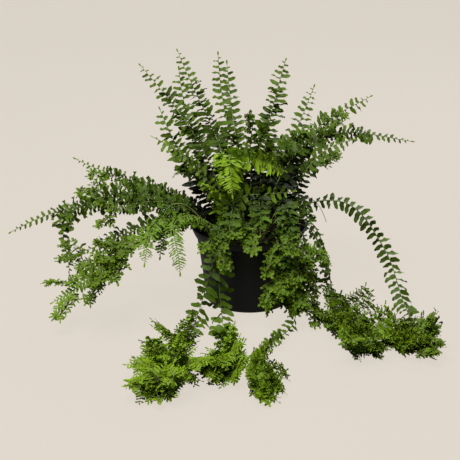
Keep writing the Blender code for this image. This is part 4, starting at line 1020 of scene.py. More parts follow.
def dress_frond(frond, stand, forks, draw):
    """All the leaves and ribs of one frond."""
    style = STYLES[frond.style]
    pick = settings()
    # Shade is painted deep inside the plant on every frond but the young and the freshened ones
    foliage = Foliage(frond.style not in YOUNG_STYLES and not frond.fresh)
    course = stand.course
    total = course.lengths[-1]
    tone = frond.tone + draw.uniform(-FROND_TONES, FROND_TONES)
    fresh = style.fresh + frond.fresh
    radius = pick.stalk_radius
    foliage.add_rib(course.points, radius, radius * 0.4, fresh)
    first = ROOT_DEPTH + STRAIGHT_FOOT + LOW_LEAVES * (stand.bare - ROOT_DEPTH - STRAIGHT_FOOT)
    last = total - TIP_ROOM
    tail = max(total - style.tail, first) if style.tail else last
    first += style.start * (last - first)
    start = first
    for until, habit in style.parts:
        end = min(first + (last - first) * until, tail)
        pitch = pick.leaf_pitch * habit.pitch
        for side, shift in ((1, 0), (-1, 0.5)):
            stations = spaced(start + shift * pitch, end, pitch, habit.crowd)
            share = (stations - first) / (last - first)
            lengths = pick.leaf_length * habit.length * frond.size * leaf_share(share)
            youth = fresh * (share if style.tail else 1) + TIP_FRESH * share ** 2
            set_leaves(foliage, course, stations, side, lengths, habit, tone, youth, draw)
        start = end
    # The tassel's middle lies back from the tip and under the rib
    middle = course.points[-1] * 0.4 + course.points[-len(course.points) // 5] * 0.6
    middle = middle - np.array([0, 0, 0.02]) - course.faces[-1] * 0.01
    if style.tail:
        for side, shift in ((1, 0), (-1, 0.5)):
            stations = spaced(tail + shift * style.spacing, last, style.spacing, 0.1)
            places, ahead, sides, faces = rows_at(course, stations)
            count = len(stations)
            share = (stations - tail) / (last - tail)
            lift = sway(draw, count, style.lift)
            outs = sides * side * np.cos(lift) + faces * np.sin(lift) + ahead * SPRIG_LEAN
            lean = sway(draw, count, style.roll)
            normals = faces * np.cos(lean) + ahead * np.sin(lean)
            opening = np.minimum(1, 0.35 + 2.5 * share)
            lengths = style.sprig * frond.size * opening * (0.9 - 0.4 * share) * shares(draw, count, 0.7, 1.1)
            set_sprigs(foliage, places, outs, normals, lengths, style.comb, tone, fresh + 0.1, draw)
    places, ahead, sides, faces = rows_at(course, np.array([total]))
    foliage.add_leaves(places, ahead, faces, pick.leaf_length * 0.3, 0.9, SLIM, tone, fresh + 0.3)
    for fork in forks:
        dress_fork(foliage, fork, style, frond.size, middle, tone, fresh, draw)
    for _ in range(style.extra):
        here = total - style.tail * draw.uniform(*FILL_PLACE)
        start = [row[0] for row in rows_at(course, np.array([here]))]
        fork = fork_of(start, draw.choice((-1, 1)), draw.uniform(*FILL_ANGLE), draw.uniform(*FILL_LIFT),
                       draw.uniform(*FILL_ROLL), style.reach * draw.uniform(*FILL_LENGTH))
        dress_fork(foliage, fork, style, frond.size, middle, tone, fresh, draw)
    return foliage


def socket(sockets, name):
    """The first socket in use that has the name."""
    return next(s for s in sockets if s.name == name and s.enabled)


class Tree:
    """Adds nodes to a node tree and links them by socket name."""

    def __init__(self, tree):
        self.tree = tree

    def inputs(self, *rows):
        """The group's inputs, each a name, a kind and perhaps a default and a least value."""
        for name, kind, *values in rows:
            made = self.tree.interface.new_socket(name, in_out="INPUT", socket_type="NodeSocket" + kind)
            for key, value in zip(("default_value", "min_value"), values):
                setattr(made, key, value)
        return self.add("NodeGroupInput").outputs

    def outputs(self, *rows):
        """The group's outputs, each a name, a kind and the socket that leads to it."""
        for name, kind, value in rows:
            self.tree.interface.new_socket(name, in_out="OUTPUT", socket_type="NodeSocket" + kind)
        self.add("NodeGroupOutput", {name: value for name, kind, value in rows})

    def wire(self, node, wires):
        """Set inputs of a node, each to another node's socket, a colour of three numbers or a value."""
        for key, value in wires.items():
            place = node.inputs[key] if isinstance(key, int) else socket(node.inputs, key)
            if isinstance(value, bpy.types.NodeSocket):
                self.tree.links.new(value, place)
            else:
                place.default_value = (*value, 1) if place.type == "RGBA" else value

    def add(self, kind, wires=None, **values):
        """A node with its properties and its inputs."""
        node = self.tree.nodes.new(kind)
        for key, value in values.items():
            setattr(node, key, value)
        self.wire(node, wires or {})
        return node

    def out(self, kind, wires=None, name=None, **values):
        """The first output in use of a new node, or the one with the name."""
        node = self.add(kind, wires, **values)
        return socket(node.outputs, name) if name else next(s for s in node.outputs if s.enabled)

    def math(self, operation, first, second=0.5, clamp=False):
        """A math node's output."""
        return self.out("ShaderNodeMath", {0: first, 1: second}, operation=operation, use_clamp=clamp)

    def over(self, value, limit):
        """Whether a value is greater than a limit."""
        return self.out("FunctionNodeCompare", {0: value, 1: limit}, data_type="FLOAT",
                        operation="GREATER_THAN")

    def ramp(self, value, low, high):
        """A smooth step of a value from low to high."""
        return self.out("ShaderNodeMapRange", {0: value, 1: low, 2: high}, interpolation_type="SMOOTHSTEP")

    def blend(self, share, first, second):
        """One colour turned into another by a share."""
        return self.out("ShaderNodeMix", {0: share, 6: first, 7: second}, "Result", data_type="RGBA")

    def cloud(self, mottle, scale, low=0.35, high=0.65):
        """A cloudy mask of the scale given."""
        return self.out("ShaderNodeGroup", {"Scale": scale, "Low": low, "High": high}, node_tree=mottle)


def leaf_tree():
    """Geometry nodes that grow one frond's leaves and ribs on its skeleton."""
    made = Tree(bpy.data.node_groups.new("Grow frond", "GeometryNodeTree"))
    given = made.inputs(
        ("Skeleton", "Geometry"), ("Blades", "Collection"), ("Leaf material", "Material"),
        ("Rib material", "Material"), ("Leaf scale", "Float", 1.0, 0.0), ("Rib sides", "Int", 5, 3),
        ("Shape seed", "Int", 0))

    def named(name, kind="FLOAT"):
        return made.out("GeometryNodeInputNamedAttribute", {"Name": name}, "Attribute", data_type=kind)

    blades = made.out("GeometryNodeCollectionInfo", {
        "Collection": given["Blades"], "Separate Children": True, "Reset Children": True})
    shape = made.out("FunctionNodeRandomValue", {
        "Min": 0, "Max": BLADE_SHAPES - 1, "Seed": given["Shape seed"]}, data_type="INT")
    size = made.out("ShaderNodeVectorMath", {
        0: named("grow", "FLOAT_VECTOR"), "Scale": given["Leaf scale"]}, operation="SCALE")
    leaves = made.out("GeometryNodeInstanceOnPoints", {
        "Points": given["Skeleton"],
        "Selection": made.over(named("leaf"), 0.5),
        "Instance": blades,
        "Pick Instance": True,
        "Instance Index": made.math("ADD", made.math("MULTIPLY", named("family"), BLADE_SHAPES), shape),
        "Rotation": made.out("FunctionNodeEulerToRotation", {"Euler": named("turn", "FLOAT_VECTOR")}),
        "Scale": size,
    })
    curve = made.out("GeometryNodeMeshToCurve", {"Mesh": given["Skeleton"]})
    ring = made.out("GeometryNodeCurvePrimitiveCircle", {"Resolution": given["Rib sides"], "Radius": 1.0})
    ribs = made.out("GeometryNodeCurveToMesh", {
        "Curve": curve, "Profile Curve": ring, "Scale": named("thick"), "Fill Caps": True})
    ribs = made.out("GeometryNodeStoreNamedAttribute", {
        "Geometry": ribs, "Name": "is_rib", "Value": 1.0}, data_type="FLOAT", domain="POINT")
    both = made.add("GeometryNodeJoinGeometry")
    for part in (leaves, ribs):
        made.tree.links.new(part, both.inputs[0])
    real = made.out("GeometryNodeRealizeInstances", {"Geometry": both.outputs[0]})
    green = made.out("GeometryNodeSetMaterial", {"Geometry": real, "Material": given["Leaf material"]})
    done = made.out("GeometryNodeSetMaterial", {
        "Geometry": green, "Selection": made.over(named("is_rib"), 0.5), "Material": given["Rib material"]})
    made.outputs(("Frond", "Geometry", done))
    return made.tree


def scatter_tree():
    """Geometry nodes that strew crumbs over the part of a surface that faces up."""
    made = Tree(bpy.data.node_groups.new("Strew crumbs", "GeometryNodeTree"))
    given = made.inputs(
        ("Surface", "Geometry"), ("Crumb", "Object"), ("Crumb material", "Material"),
        ("Density", "Float", 1000.0, 0.0), ("Least size", "Float", 0.001, 0.0),
        ("Most size", "Float", 0.002, 0.0), ("Seed", "Int", 0))
    seed = given["Seed"]
    upward = made.add("ShaderNodeSeparateXYZ", {0: made.out("GeometryNodeInputNormal")}).outputs["Z"]
    points = made.out("GeometryNodeDistributePointsOnFaces", {
        "Mesh": given["Surface"],
        "Selection": made.over(upward, 0.6),
        "Density": given["Density"],
        "Seed": seed,
    })
    spin = made.out("FunctionNodeRandomValue", {
        "Min": (0.0, 0.0, 0.0), "Max": (6.28, 6.28, 6.28), "Seed": seed}, data_type="FLOAT_VECTOR")
    size = made.out("FunctionNodeRandomValue", {
        "Min": given["Least size"], "Max": given["Most size"], "Seed": seed}, data_type="FLOAT")
    crumbs = made.out("GeometryNodeInstanceOnPoints", {
        "Points": points,
        "Instance": made.out("GeometryNodeObjectInfo", {"Object": given["Crumb"]}, "Geometry"),
        "Rotation": made.out("FunctionNodeEulerToRotation", {"Euler": spin}),
        "Scale": size,
    })
    real = made.out("GeometryNodeRealizeInstances", {"Geometry": crumbs})
    done = made.out("GeometryNodeSetMaterial", {"Geometry": real, "Material": given["Crumb material"]})
    made.outputs(("Crumbs", "Geometry", done))
    return made.tree


def linked(name, data):
    """A new object in the scene."""
    thing = bpy.data.objects.new(name, data)
    bpy.context.scene.collection.objects.link(thing)
    return thing


def evaluated(thing):
    """The plain mesh that an object's modifiers make. The object is taken away."""
    result = bpy.data.meshes.new_from_object(thing.evaluated_get(bpy.context.evaluated_depsgraph_get()))
    bpy.data.objects.remove(thing)
    return result


def grown(name, mesh, tree, inputs):
    """The plain mesh that a geometry node tree makes of a mesh, its inputs set by their sockets."""
    thing = linked(name, mesh)
    grow = thing.modifiers.new("grow", "NODES")
    grow.node_group = tree
    for item in tree.interface.items_tree:
        if item.name in inputs:
            grow[item.identifier] = inputs[item.name]
    result = evaluated(thing)
    result.name = name
    return result


def finish_piece(name, mesh, nodes):
    """Link a finished mesh as a piece that rides on the plant and stands for its solids."""
    piece = linked(name, mesh)
    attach(piece, "root")
    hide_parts(*nodes)
    return piece


def mottle_group():
    """A soft, cloudy mask on the object's own coordinates."""
    made = Tree(bpy.data.node_groups.new("Mottle", "ShaderNodeTree"))
    given = made.inputs(("Scale", "Float", 60.0), ("Low", "Float", 0.35), ("High", "Float", 0.65))
    place = made.out("ShaderNodeTexCoord", name="Object")
    noises = made.out("ShaderNodeTexNoise", {
        "Vector": place, "Scale": given["Scale"], "Detail": 4.0, "Roughness": 0.6})
    made.outputs(("Mask", "Float", made.ramp(noises, given["Low"], given["High"])))
    return made.tree


def leaf_group(mottle):
    """A fern leaf's colour and relief, from its own length and width and its age."""
    made = Tree(bpy.data.node_groups.new("Leaf surface", "ShaderNodeTree"))
    given = made.inputs(("Deep", "Color"), ("Green", "Color"), ("Fresh", "Color"), ("Vein", "Color"),
                        ("Vein count", "Float", 9.0))

    def read(name):
        return made.out("ShaderNodeAttribute", name="Fac", attribute_name=name, attribute_type="GEOMETRY")

    def times(value, share):
        return made.math("MULTIPLY", value, share)

    along, tone = read("along"), read("tone")
    wide, fine = made.cloud(mottle, 45.0), made.cloud(mottle, 420.0)
    shade = made.math("ADD", tone, times(wide, 0.35))
    shade = made.math("SUBTRACT", shade, 0.17, True)
    deep = made.blend(shade, given["Deep"], given["Green"])
    age = made.math("ADD", read("fresh"), times(along, 0.16))
    age = made.math("ADD", age, times(fine, 0.08), True)
    body = made.blend(age, deep, given["Fresh"])
    side = made.math("ABSOLUTE", read("across"))
    slant = made.math("SUBTRACT", along, times(side, 0.16))
    wave = made.math("SINE", times(slant, times(given["Vein count"], 2 * math.pi)))
    veins = made.math("MAXIMUM", made.ramp(side, 0.16, 0.03), times(made.ramp(wave, 0.55, 1.0), 0.35))
    tint = made.blend(times(veins, 0.36), body, given["Vein"])
    relief = made.math("SUBTRACT", times(fine, 0.4), veins)
    rough = made.out("ShaderNodeMapRange", {0: fine, 3: 0.36, 4: 0.56})
    # A tone below zero darkens the colour: mostly painted shade on leaves deep inside the plant, partly
    # random tone
    old = made.out("ShaderNodeMapRange", {0: tone, 1: -1.0, 2: 0.0, 3: PAINTED_SHADE_DARKEST, 4: 1.0})
    dimmed = made.out("ShaderNodeVectorMath", {0: tint, 3: old}, operation="SCALE")
    made.outputs(("Colour", "Color", dimmed), ("Relief", "Float", relief), ("Roughness", "Float", rough))
    return made.tree


def new_material(name):
    """A new material and the helper for its nodes."""
    material = bpy.data.materials.new(name)
    material.use_nodes = True
    return material, Tree(material.node_tree)


def finish_material(made, colour, rough, relief, strength, distance, more=()):
    """Lead a colour, a roughness and a relief to the material's shader."""
    bump = made.out("ShaderNodeBump", {"Height": relief, "Strength": strength, "Distance": distance})
    made.wire(made.tree.nodes["Principled BSDF"], {
        "Base Color": colour, "Roughness": rough, "Normal": bump, **dict(more)})


def leaf_material(name, group, deep, green, fresh, vein):
    """A fern leaf: veined, mottled, with a soft waxy sheen."""
    material, made = new_material(name)
    surface = made.add("ShaderNodeGroup", {"Deep": deep, "Green": green, "Fresh": fresh, "Vein": vein},
                       node_tree=group).outputs
    finish_material(made, surface["Colour"], surface["Roughness"], surface["Relief"], 0.5, 0.00025,
                    {"Specular IOR Level": 0.18})
    return material


def stem_material(name, mottle, pale, brown, rough):
    """A smooth stalk, greener or browner in soft patches."""
    material, made = new_material(name)
    colour = made.blend(made.cloud(mottle, 70.0, 0.35, 0.7), pale, brown)
    finish_material(made, colour, rough, made.cloud(mottle, 900.0, 0.3, 0.7), 0.4, 0.0002)
    return material


def pot_material(mottle, colour, rough):
    """Thin moulded black plastic with faint cloudy gloss, dust and fine scuffs."""
    material, made = new_material("black pot plastic")
    cloud = made.cloud(mottle, 24.0, 0.3, 0.7)
    grain = made.cloud(mottle, 1500.0, 0.3, 0.7)
    dust = made.cloud(mottle, 330.0, 0.60, 0.78)
    faint = made.math("MULTIPLY", dust, made.math("MULTIPLY", cloud, 0.10))
    tint = made.blend(faint, colour, (0.16, 0.15, 0.14))
    gloss = made.out("ShaderNodeMapRange", {0: cloud, 3: rough - 0.07, 4: rough + 0.09})
    finish_material(made, tint, gloss, grain, 0.25, 0.0001)
    return material


def soil_material(name, mottle, dark, light, scale):
    """Damp potting mix: dark crumbs with lighter fibres."""
    material, made = new_material(name)
    fine = made.cloud(mottle, scale * 9, 0.3, 0.7)
    share = made.math("MULTIPLY", made.cloud(mottle, scale, 0.35, 0.7), made.math("ADD", fine, 0.3), True)
    finish_material(made, made.blend(share, dark, light), 0.92, fine, 0.8, 0.0006)
    return material


def finished(name, bm):
    """The mesh that a bmesh makes."""
    mesh = bpy.data.meshes.new(name)
    bm.to_mesh(mesh)
    bm.free()
    return mesh


def mesh_of(name, vertices, faces):
    """A mesh of the vertices and faces given, with its faces turned outwards."""
    bm = bmesh.new()
    points = [bm.verts.new(vertex) for vertex in vertices]
    for face in faces:
        bm.faces.new([points[index] for index in face])
    bmesh.ops.recalc_face_normals(bm, faces=bm.faces)
    return finished(name, bm)


def store(mesh, label, values):
    """Keep a number or a vector for each point of a mesh under a name."""
    values = np.asarray(values, np.float32)
    kind, key = ("FLOAT", "value") if values.ndim == 1 else ("FLOAT_VECTOR", "vector")
    mesh.attributes.new(label, kind, "POINT").data.foreach_set(key, values.ravel())


def blade_mesh(name, blade, draw):
    """One closed leaf blade of unit length that lies along X, its edges scalloped and waved."""
    phase = draw.uniform(0, 2 * math.pi)
    wave = blade.wave * draw.uniform(0.6, 1.3)
    droop = blade.droop * draw.uniform(0, 1)
    hook = blade.hook * draw.uniform(0.15, 1)
    vertices, along, across = [], [], []
    for index, (row, width) in enumerate(zip(blade.rows, blade.halves)):
        y = hook * row ** 2
        z = -droop * row ** 2
        for side in (1, -1):
            scallop = 1 + blade.scallop * (-1) ** (index + (side > 0)) * draw.uniform(0.4, 1)
            lobe = BLADE_LOBE if index == 1 and side * hook > 0 else 1
            offset = side * width * scallop * lobe
            lift = wave * math.sin(phase + side * 1.1 + row * 2 * math.pi * 1.6)
            vertices.append((row, y + offset, z + lift + BLADE_FOLD * abs(offset)))
        vertices.append((row, y, z + BLADE_THICKNESS / 2))
        vertices.append((row, y, z - BLADE_THICKNESS / 2))
        along += [row] * 4
        across += [1, -1, 0, 0]
    faces = [(0, 2, 1, 3)]
    for k in range(len(blade.rows) - 1):
        a, b = 4 * k, 4 * k + 4
        faces += [(a, b, b + 2, a + 2), (a + 2, b + 2, b + 1, a + 1), (a + 1, b + 1, b + 3, a + 3),
                  (a + 3, b + 3, b, a)]
    end = 4 * (len(blade.rows) - 1)
    faces.append((end, end + 3, end + 1, end + 2))
    mesh = mesh_of(name, vertices, faces)
    store(mesh, "along", along)
    store(mesh, "across", across)
    mesh.shade_smooth()
    mesh.set_sharp_from_angle(angle=math.radians(60))
    return mesh


def blade_collection():
    """The leaf blades that are grown on every frond: a few shapes of each kind."""
    blades = bpy.data.collections.new("blades")
    for family, blade in enumerate(BLADES):
        for shape in range(BLADE_SHAPES):
            name = f"blade_{family}_{shape}"
            mesh = blade_mesh(name, blade, random.Random(100 * family + shape))
            blades.objects.link(bpy.data.objects.new(name, mesh))
    return blades


def skeleton_mesh(name, foliage):
    """A frond's ribs as edges and its leaves as loose points, with their attributes."""
    rows = np.concatenate(foliage.leaves) if foliage.leaves else np.zeros((0, 14))
    leaves, ribs = len(rows), len(foliage.points)
    mesh = bpy.data.meshes.new(name)
    mesh.from_pydata(foliage.points + [tuple(row[:3]) for row in rows], foliage.edges, [])
    outs = unit_rows(rows[:, 3:6])
    normals = square_to(rows[:, 6:9], outs)
    acrosses = np.cross(normals, outs)
    turn = np.column_stack([np.arctan2(acrosses[:, 2], normals[:, 2]),
                            np.arcsin(np.clip(-outs[:, 2], -1, 1)),
                            np.arctan2(outs[:, 1], outs[:, 0])])
    length, ratio, family, tone, fresh = rows[:, 9:].T
    grow = np.column_stack([length, length * ratio, length])
    for label, on_ribs, on_leaves in (
            ("leaf", np.zeros(ribs), np.ones(leaves)),
            ("thick", foliage.thick, np.zeros(leaves)),
            ("family", np.zeros(ribs), family),
            ("tone", np.full(ribs, 0.5), tone),
            ("fresh", foliage.rib_fresh, fresh),
            ("turn", np.zeros((ribs, 3)), turn),
            ("grow", np.ones((ribs, 3)), grow)):
        store(mesh, label, np.concatenate([on_ribs, on_leaves]))
    return mesh


def grow_foliage(name, foliage, kit, leaf, rib, seed):
    """A frond's finished mesh, with only the attributes that its materials read."""
    mesh = grown(name, skeleton_mesh(name, foliage), kit["tree"], {
        "Blades": kit["blades"], "Leaf material": leaf, "Rib material": rib, "Shape seed": seed,
        "Rib sides": settings().rib_sides})
    for attribute in list(mesh.attributes):
        if attribute.name in ("leaf", "thick", "family", "turn", "grow", "is_rib"):
            mesh.attributes.remove(mesh.attributes[attribute.name])
    return mesh


def lathe(name, profile, sides, wobble=None):
    """Spin a profile whose ends lie on the axis, and shift its points by the wobble given."""
    bm = bmesh.new()
    verts = [bm.verts.new((radius, 0, height)) for radius, height in profile]
    edges = [bm.edges.new(pair) for pair in zip(verts, verts[1:])]
    bmesh.ops.spin(bm, geom=verts + edges, cent=(0, 0, 0), axis=(0, 0, 1), angle=2 * math.pi, steps=sides,
                   use_merge=True)
    bmesh.ops.remove_doubles(bm, verts=bm.verts, dist=1e-6)
    bmesh.ops.dissolve_degenerate(bm, edges=bm.edges, dist=1e-7)
    if wobble:
        for vert in bm.verts:
            vert.co = wobble(vert.co.copy())
    bmesh.ops.recalc_face_normals(bm, faces=bm.faces)
    mesh = finished(name, bm)
    mesh.shade_smooth()
    mesh.set_sharp_from_angle(angle=math.radians(40))
    return mesh


def pot_wobble(point):
    """The thin wall's soft upright waves, none at the floor and least at the lip."""
    rise = min(max((point.z - WAVE_FOOT) / WAVE_RISE, 0), 1)
    fade = min(max((POT_HEIGHT - LIP_HEIGHT - point.z) / WAVE_FADE, WAVE_LEAST), 1)
    share = rise * fade
    angle = math.atan2(point.y, point.x)
    depth = WAVE_DEPTH * math.sin(9 * angle + 1.1 * math.sin(2 * angle))
    depth += RIPPLE_DEPTH * math.sin(23 * angle + 0.7)
    radius = math.hypot(point.x, point.y)
    if radius < BASE_RADIUS * 0.9:
        return point
    scale = 1 + (depth * share - WAVE_SINK * share) / radius
    return Vector((point.x * scale, point.y * scale, point.z))


def rounded(corners, radius, steps):
    """A profile with its inner corners rounded."""
    made = [corners[0]]
    for before, here, after in zip(corners, corners[1:], corners[2:]):
        a, b, c = Vector(before), Vector(here), Vector(after)
        reach = min(radius, (a - b).length * 0.45, (c - b).length * 0.45)
        start, end = b + (a - b).normalized() * reach, b + (c - b).normalized() * reach
        for k in range(steps + 1):
            t = k / steps
            made.append(tuple((1 - t) ** 2 * start + 2 * t * (1 - t) * b + t * t * end))
    return made + [corners[-1]]


class PotLook(bpy.types.PropertyGroup):
    """Sizes and colour of the pot and the soil in it."""

    sides: IntProperty(name="Sides", description="Faces round the pot", default=96, min=24)
    edge: FloatProperty(name="Edge", description="Rounding of the pot's edges", default=0.0006, unit="LENGTH")
    colour: FloatVectorProperty(name="Plastic", description="Colour of the pot", size=3, subtype="COLOR",
                                default=(0.0125, 0.0135, 0.0155))
    roughness: FloatProperty(name="Roughness", description="Roughness of the pot", default=0.34,
                             subtype="FACTOR", min=0, max=1)
    soil: FloatVectorProperty(name="Soil", description="Colour of the soil", size=3, subtype="COLOR",
                              default=(0.030, 0.018, 0.011))
    crumb_density: FloatProperty(name="Crumbs", description="Crumbs on each square metre of soil",
                                 default=70000, min=0)


class FernLook(bpy.types.PropertyGroup):
    """Sizes and colours of the plant."""

    leaf_length: FloatProperty(name="Leaf length", description="Longest leaf along a frond", default=0.0166,
                               unit="LENGTH")
    leaf_pitch: FloatProperty(name="Leaf spacing", description="From leaf to leaf on one side",
                              default=0.0092, unit="LENGTH")
    stalk_radius: FloatProperty(name="Stalk radius", description="Radius of a stalk at its foot",
                                default=0.00095, unit="LENGTH")
    rib_sides: IntProperty(name="Rib sides", description="Faces round a rib", default=4, min=3)
    deep: FloatVectorProperty(name="Deep green", description="Darkest leaves", size=3, subtype="COLOR",
                              default=(0.0080, 0.0250, 0.0040))
    green: FloatVectorProperty(name="Green", description="Grown leaves", size=3, subtype="COLOR",
                               default=(0.0490, 0.1140, 0.0105))
    fresh: FloatVectorProperty(name="Fresh green", description="Young leaves and leaf tips", size=3,
                               subtype="COLOR", default=(0.260, 0.420, 0.0080))
    vein: FloatVectorProperty(name="Vein", description="Veins and midribs", size=3, subtype="COLOR",
                              default=(0.120, 0.200, 0.022))


class StageLook(bpy.types.PropertyGroup):
    """The floor, the light and the camera's distance."""

    floor: FloatVectorProperty(name="Floor", description="Colour of the floor and backdrop", size=3,
                               subtype="COLOR", default=(0.730, 0.672, 0.591))
    key: FloatProperty(name="Main light", description="Power of the large light", default=50, unit="POWER")
    fill: FloatProperty(name="Surround light", description="Strength of the even light around", default=0.07)
    lens: FloatProperty(name="Lens", description="Focal length in millimetres", default=78.26)


def settings():
    """The plant's sizes and colours."""
    return bpy.context.scene.fern_look


# What several pieces share, filled when the first of them asks for it
kit = {}


def shared():
    """Node groups, materials and blades that several pieces use, made once."""
    if kit:
        return kit
    pick = settings()
    mottle = mottle_group()
    surface = leaf_group(mottle)
    kit["mottle"] = mottle
    kit["tree"] = leaf_tree()
    kit["scatter"] = scatter_tree()
    kit["blades"] = blade_collection()
    kit["leaf"] = leaf_material("fern leaf", surface, pick.deep, pick.green, pick.fresh, pick.vein)
    kit["young"] = leaf_material("young fern leaf", surface, pick.green, [c * 1.25 for c in pick.green],
                                 pick.fresh, pick.vein)
    kit["rib"] = stem_material("fern rib", mottle, (0.26, 0.34, 0.08), (0.20, 0.19, 0.06), 0.5)
    kit["runner"] = stem_material("runner skin", mottle, (0.15, 0.19, 0.06), (0.10, 0.07, 0.03), 0.55)
    kit["scale"] = stem_material("rootstock scales", mottle, (0.16, 0.085, 0.035), (0.06, 0.03, 0.015), 0.8)
    return kit


class FERN_OT_pot(bpy.types.Operator):
    """Build the thin plastic pot with its lip and drainage holes"""

    bl_idname = "fern.pot"
    bl_label = "Pot"

    def execute(self, context):
        """Build the pot."""
        look = context.scene.pot_look
        lip = POT_HEIGHT - LIP_HEIGHT
        lip_radius = WALL_TOP_RADIUS + LIP_STEP
        foot, top = (BASE_RADIUS, FOOT_HEIGHT), (WALL_TOP_RADIUS, lip - POT_WALL / 2)
        corners = [(0, 0), (BASE_RADIUS - FOOT_STEP, 0)]
        for k in range(WALL_STEPS + 1):
            corners.append(tuple(low + (high - low) * k / WALL_STEPS for low, high in zip(foot, top)))
        corners += [
            (lip_radius, lip),
            (RIM_RADIUS - LIP_TAPER, POT_HEIGHT - LIP_EDGE),
            (RIM_RADIUS, POT_HEIGHT - RIM_EDGE),
            (RIM_RADIUS, POT_HEIGHT),
            (RIM_RADIUS - POT_WALL, POT_HEIGHT),
            (lip_radius - POT_WALL, lip + POT_WALL),
            (WALL_TOP_RADIUS - POT_WALL, lip - POT_WALL),
            (BASE_RADIUS - POT_WALL, POT_FLOOR),
            (0, POT_FLOOR),
        ]
        mesh = lathe("pot_shell", rounded(corners, look.edge, 3), look.sides, pot_wobble)
        shell = linked("pot_shell", mesh)
        drains = bpy.data.collections.new("drains")
        for index in range(DRAIN_COUNT):
            angle = 2 * math.pi * index / DRAIN_COUNT
            place = (DRAIN_RING * math.cos(angle), DRAIN_RING * math.sin(angle), POT_FLOOR / 2)
            bm = bmesh.new()
            bmesh.ops.create_cone(bm, cap_ends=True, segments=24, radius1=DRAIN_RADIUS, radius2=DRAIN_RADIUS,
                                  depth=POT_FLOOR * 4)
            bmesh.ops.translate(bm, verts=bm.verts, vec=place)
            drains.objects.link(bpy.data.objects.new("drain", finished("drain", bm)))
        cut = shell.modifiers.new("drains", "BOOLEAN")
        cut.operation = "DIFFERENCE"
        cut.operand_type = "COLLECTION"
        cut.collection = drains
        cut.solver = "EXACT"
        done = evaluated(shell)
        done.materials.clear()
        done.materials.append(pot_material(shared()["mottle"], look.colour, look.roughness))
        finish_piece("pot_shell", done, ["pot"])
        return {"FINISHED"}


class FERN_OT_soil(bpy.types.Operator):
    """Build the crumbly soil in the pot"""

    bl_idname = "fern.soil"
    bl_label = "Soil"

    def execute(self, context):
        """Build the soil and its crumbs."""
        look = context.scene.pot_look
        low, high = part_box("soil")
        top = high.x
        rings = [(top * k / SOIL_RINGS, SOIL_TOP) for k in range(SOIL_RINGS, -1, -1)]
        shoulder = (top - SHOULDER_EASE, SOIL_TOP - SOIL_SHOULDER)
        profile = [(0, low.z), (BASE_RADIUS - 2 * POT_WALL, low.z), shoulder] + rings

        def lumps(point):
            if point.z < SOIL_TOP - SURFACE_DEPTH:
                return point
            place = point * LUMP_SCALE
            lump = noise.noise(place) * LUMP_HEIGHT + noise.noise(place * CLOD_SCALE) * CLOD_HEIGHT
            return Vector((point.x, point.y, point.z + lump - LUMP_SINK))

        body = lathe("soil_mix", profile, SOIL_SIDES, lumps)
        tools = shared()
        mottle = tools["mottle"]
        dark = soil_material("potting soil", mottle, look.soil, [c * 3.2 for c in look.soil], 160.0)
        pale = soil_material("perlite", mottle, (0.42, 0.40, 0.36), (0.62, 0.60, 0.56), 600.0)
        bark = soil_material("bark crumb", mottle, [c * 1.3 for c in look.soil], (0.14, 0.085, 0.045), 300.0)
        meshes = [body]
        body.materials.append(dark)
        for label, material, share, least, most, seed in (
                ("soil_crumb", dark, 0.62, 0.0008, 0.0019, 3),
                ("bark_crumb", bark, 0.30, 0.0010, 0.0026, 5),
                ("perlite_crumb", pale, 0.08, 0.0008, 0.0016, 7)):
            crumb = linked(label, crumb_mesh(label, seed))
            meshes.append(grown(label, body, tools["scatter"], {
                "Crumb": crumb, "Crumb material": material, "Density": look.crumb_density * share,
                "Least size": least, "Most size": most, "Seed": seed}))
            bpy.data.objects.remove(crumb)
        finish_piece("soil_mix", joined("soil_mix", meshes), ["soil"])
        return {"FINISHED"}


def crumb_mesh(name, seed):
    """A small angular crumb of unit size."""
    bm = bmesh.new()
    bmesh.ops.create_icosphere(bm, subdivisions=1, radius=0.5)
    draw = random.Random(seed)
    for vert in bm.verts:
        vert.co *= draw.uniform(0.7, 1.15)
        vert.co.z *= 0.75
    return finished(name, bm)


def joined(name, meshes):
    """Several meshes as one, each with its own materials."""
    things = [linked(name, mesh) for mesh in meshes]
    with bpy.context.temp_override(active_object=things[0], object=things[0], selected_objects=things,
                                   selected_editable_objects=things):
        bpy.ops.object.join()
    mesh = things[0].data
    bpy.data.objects.remove(things[0])
    return mesh


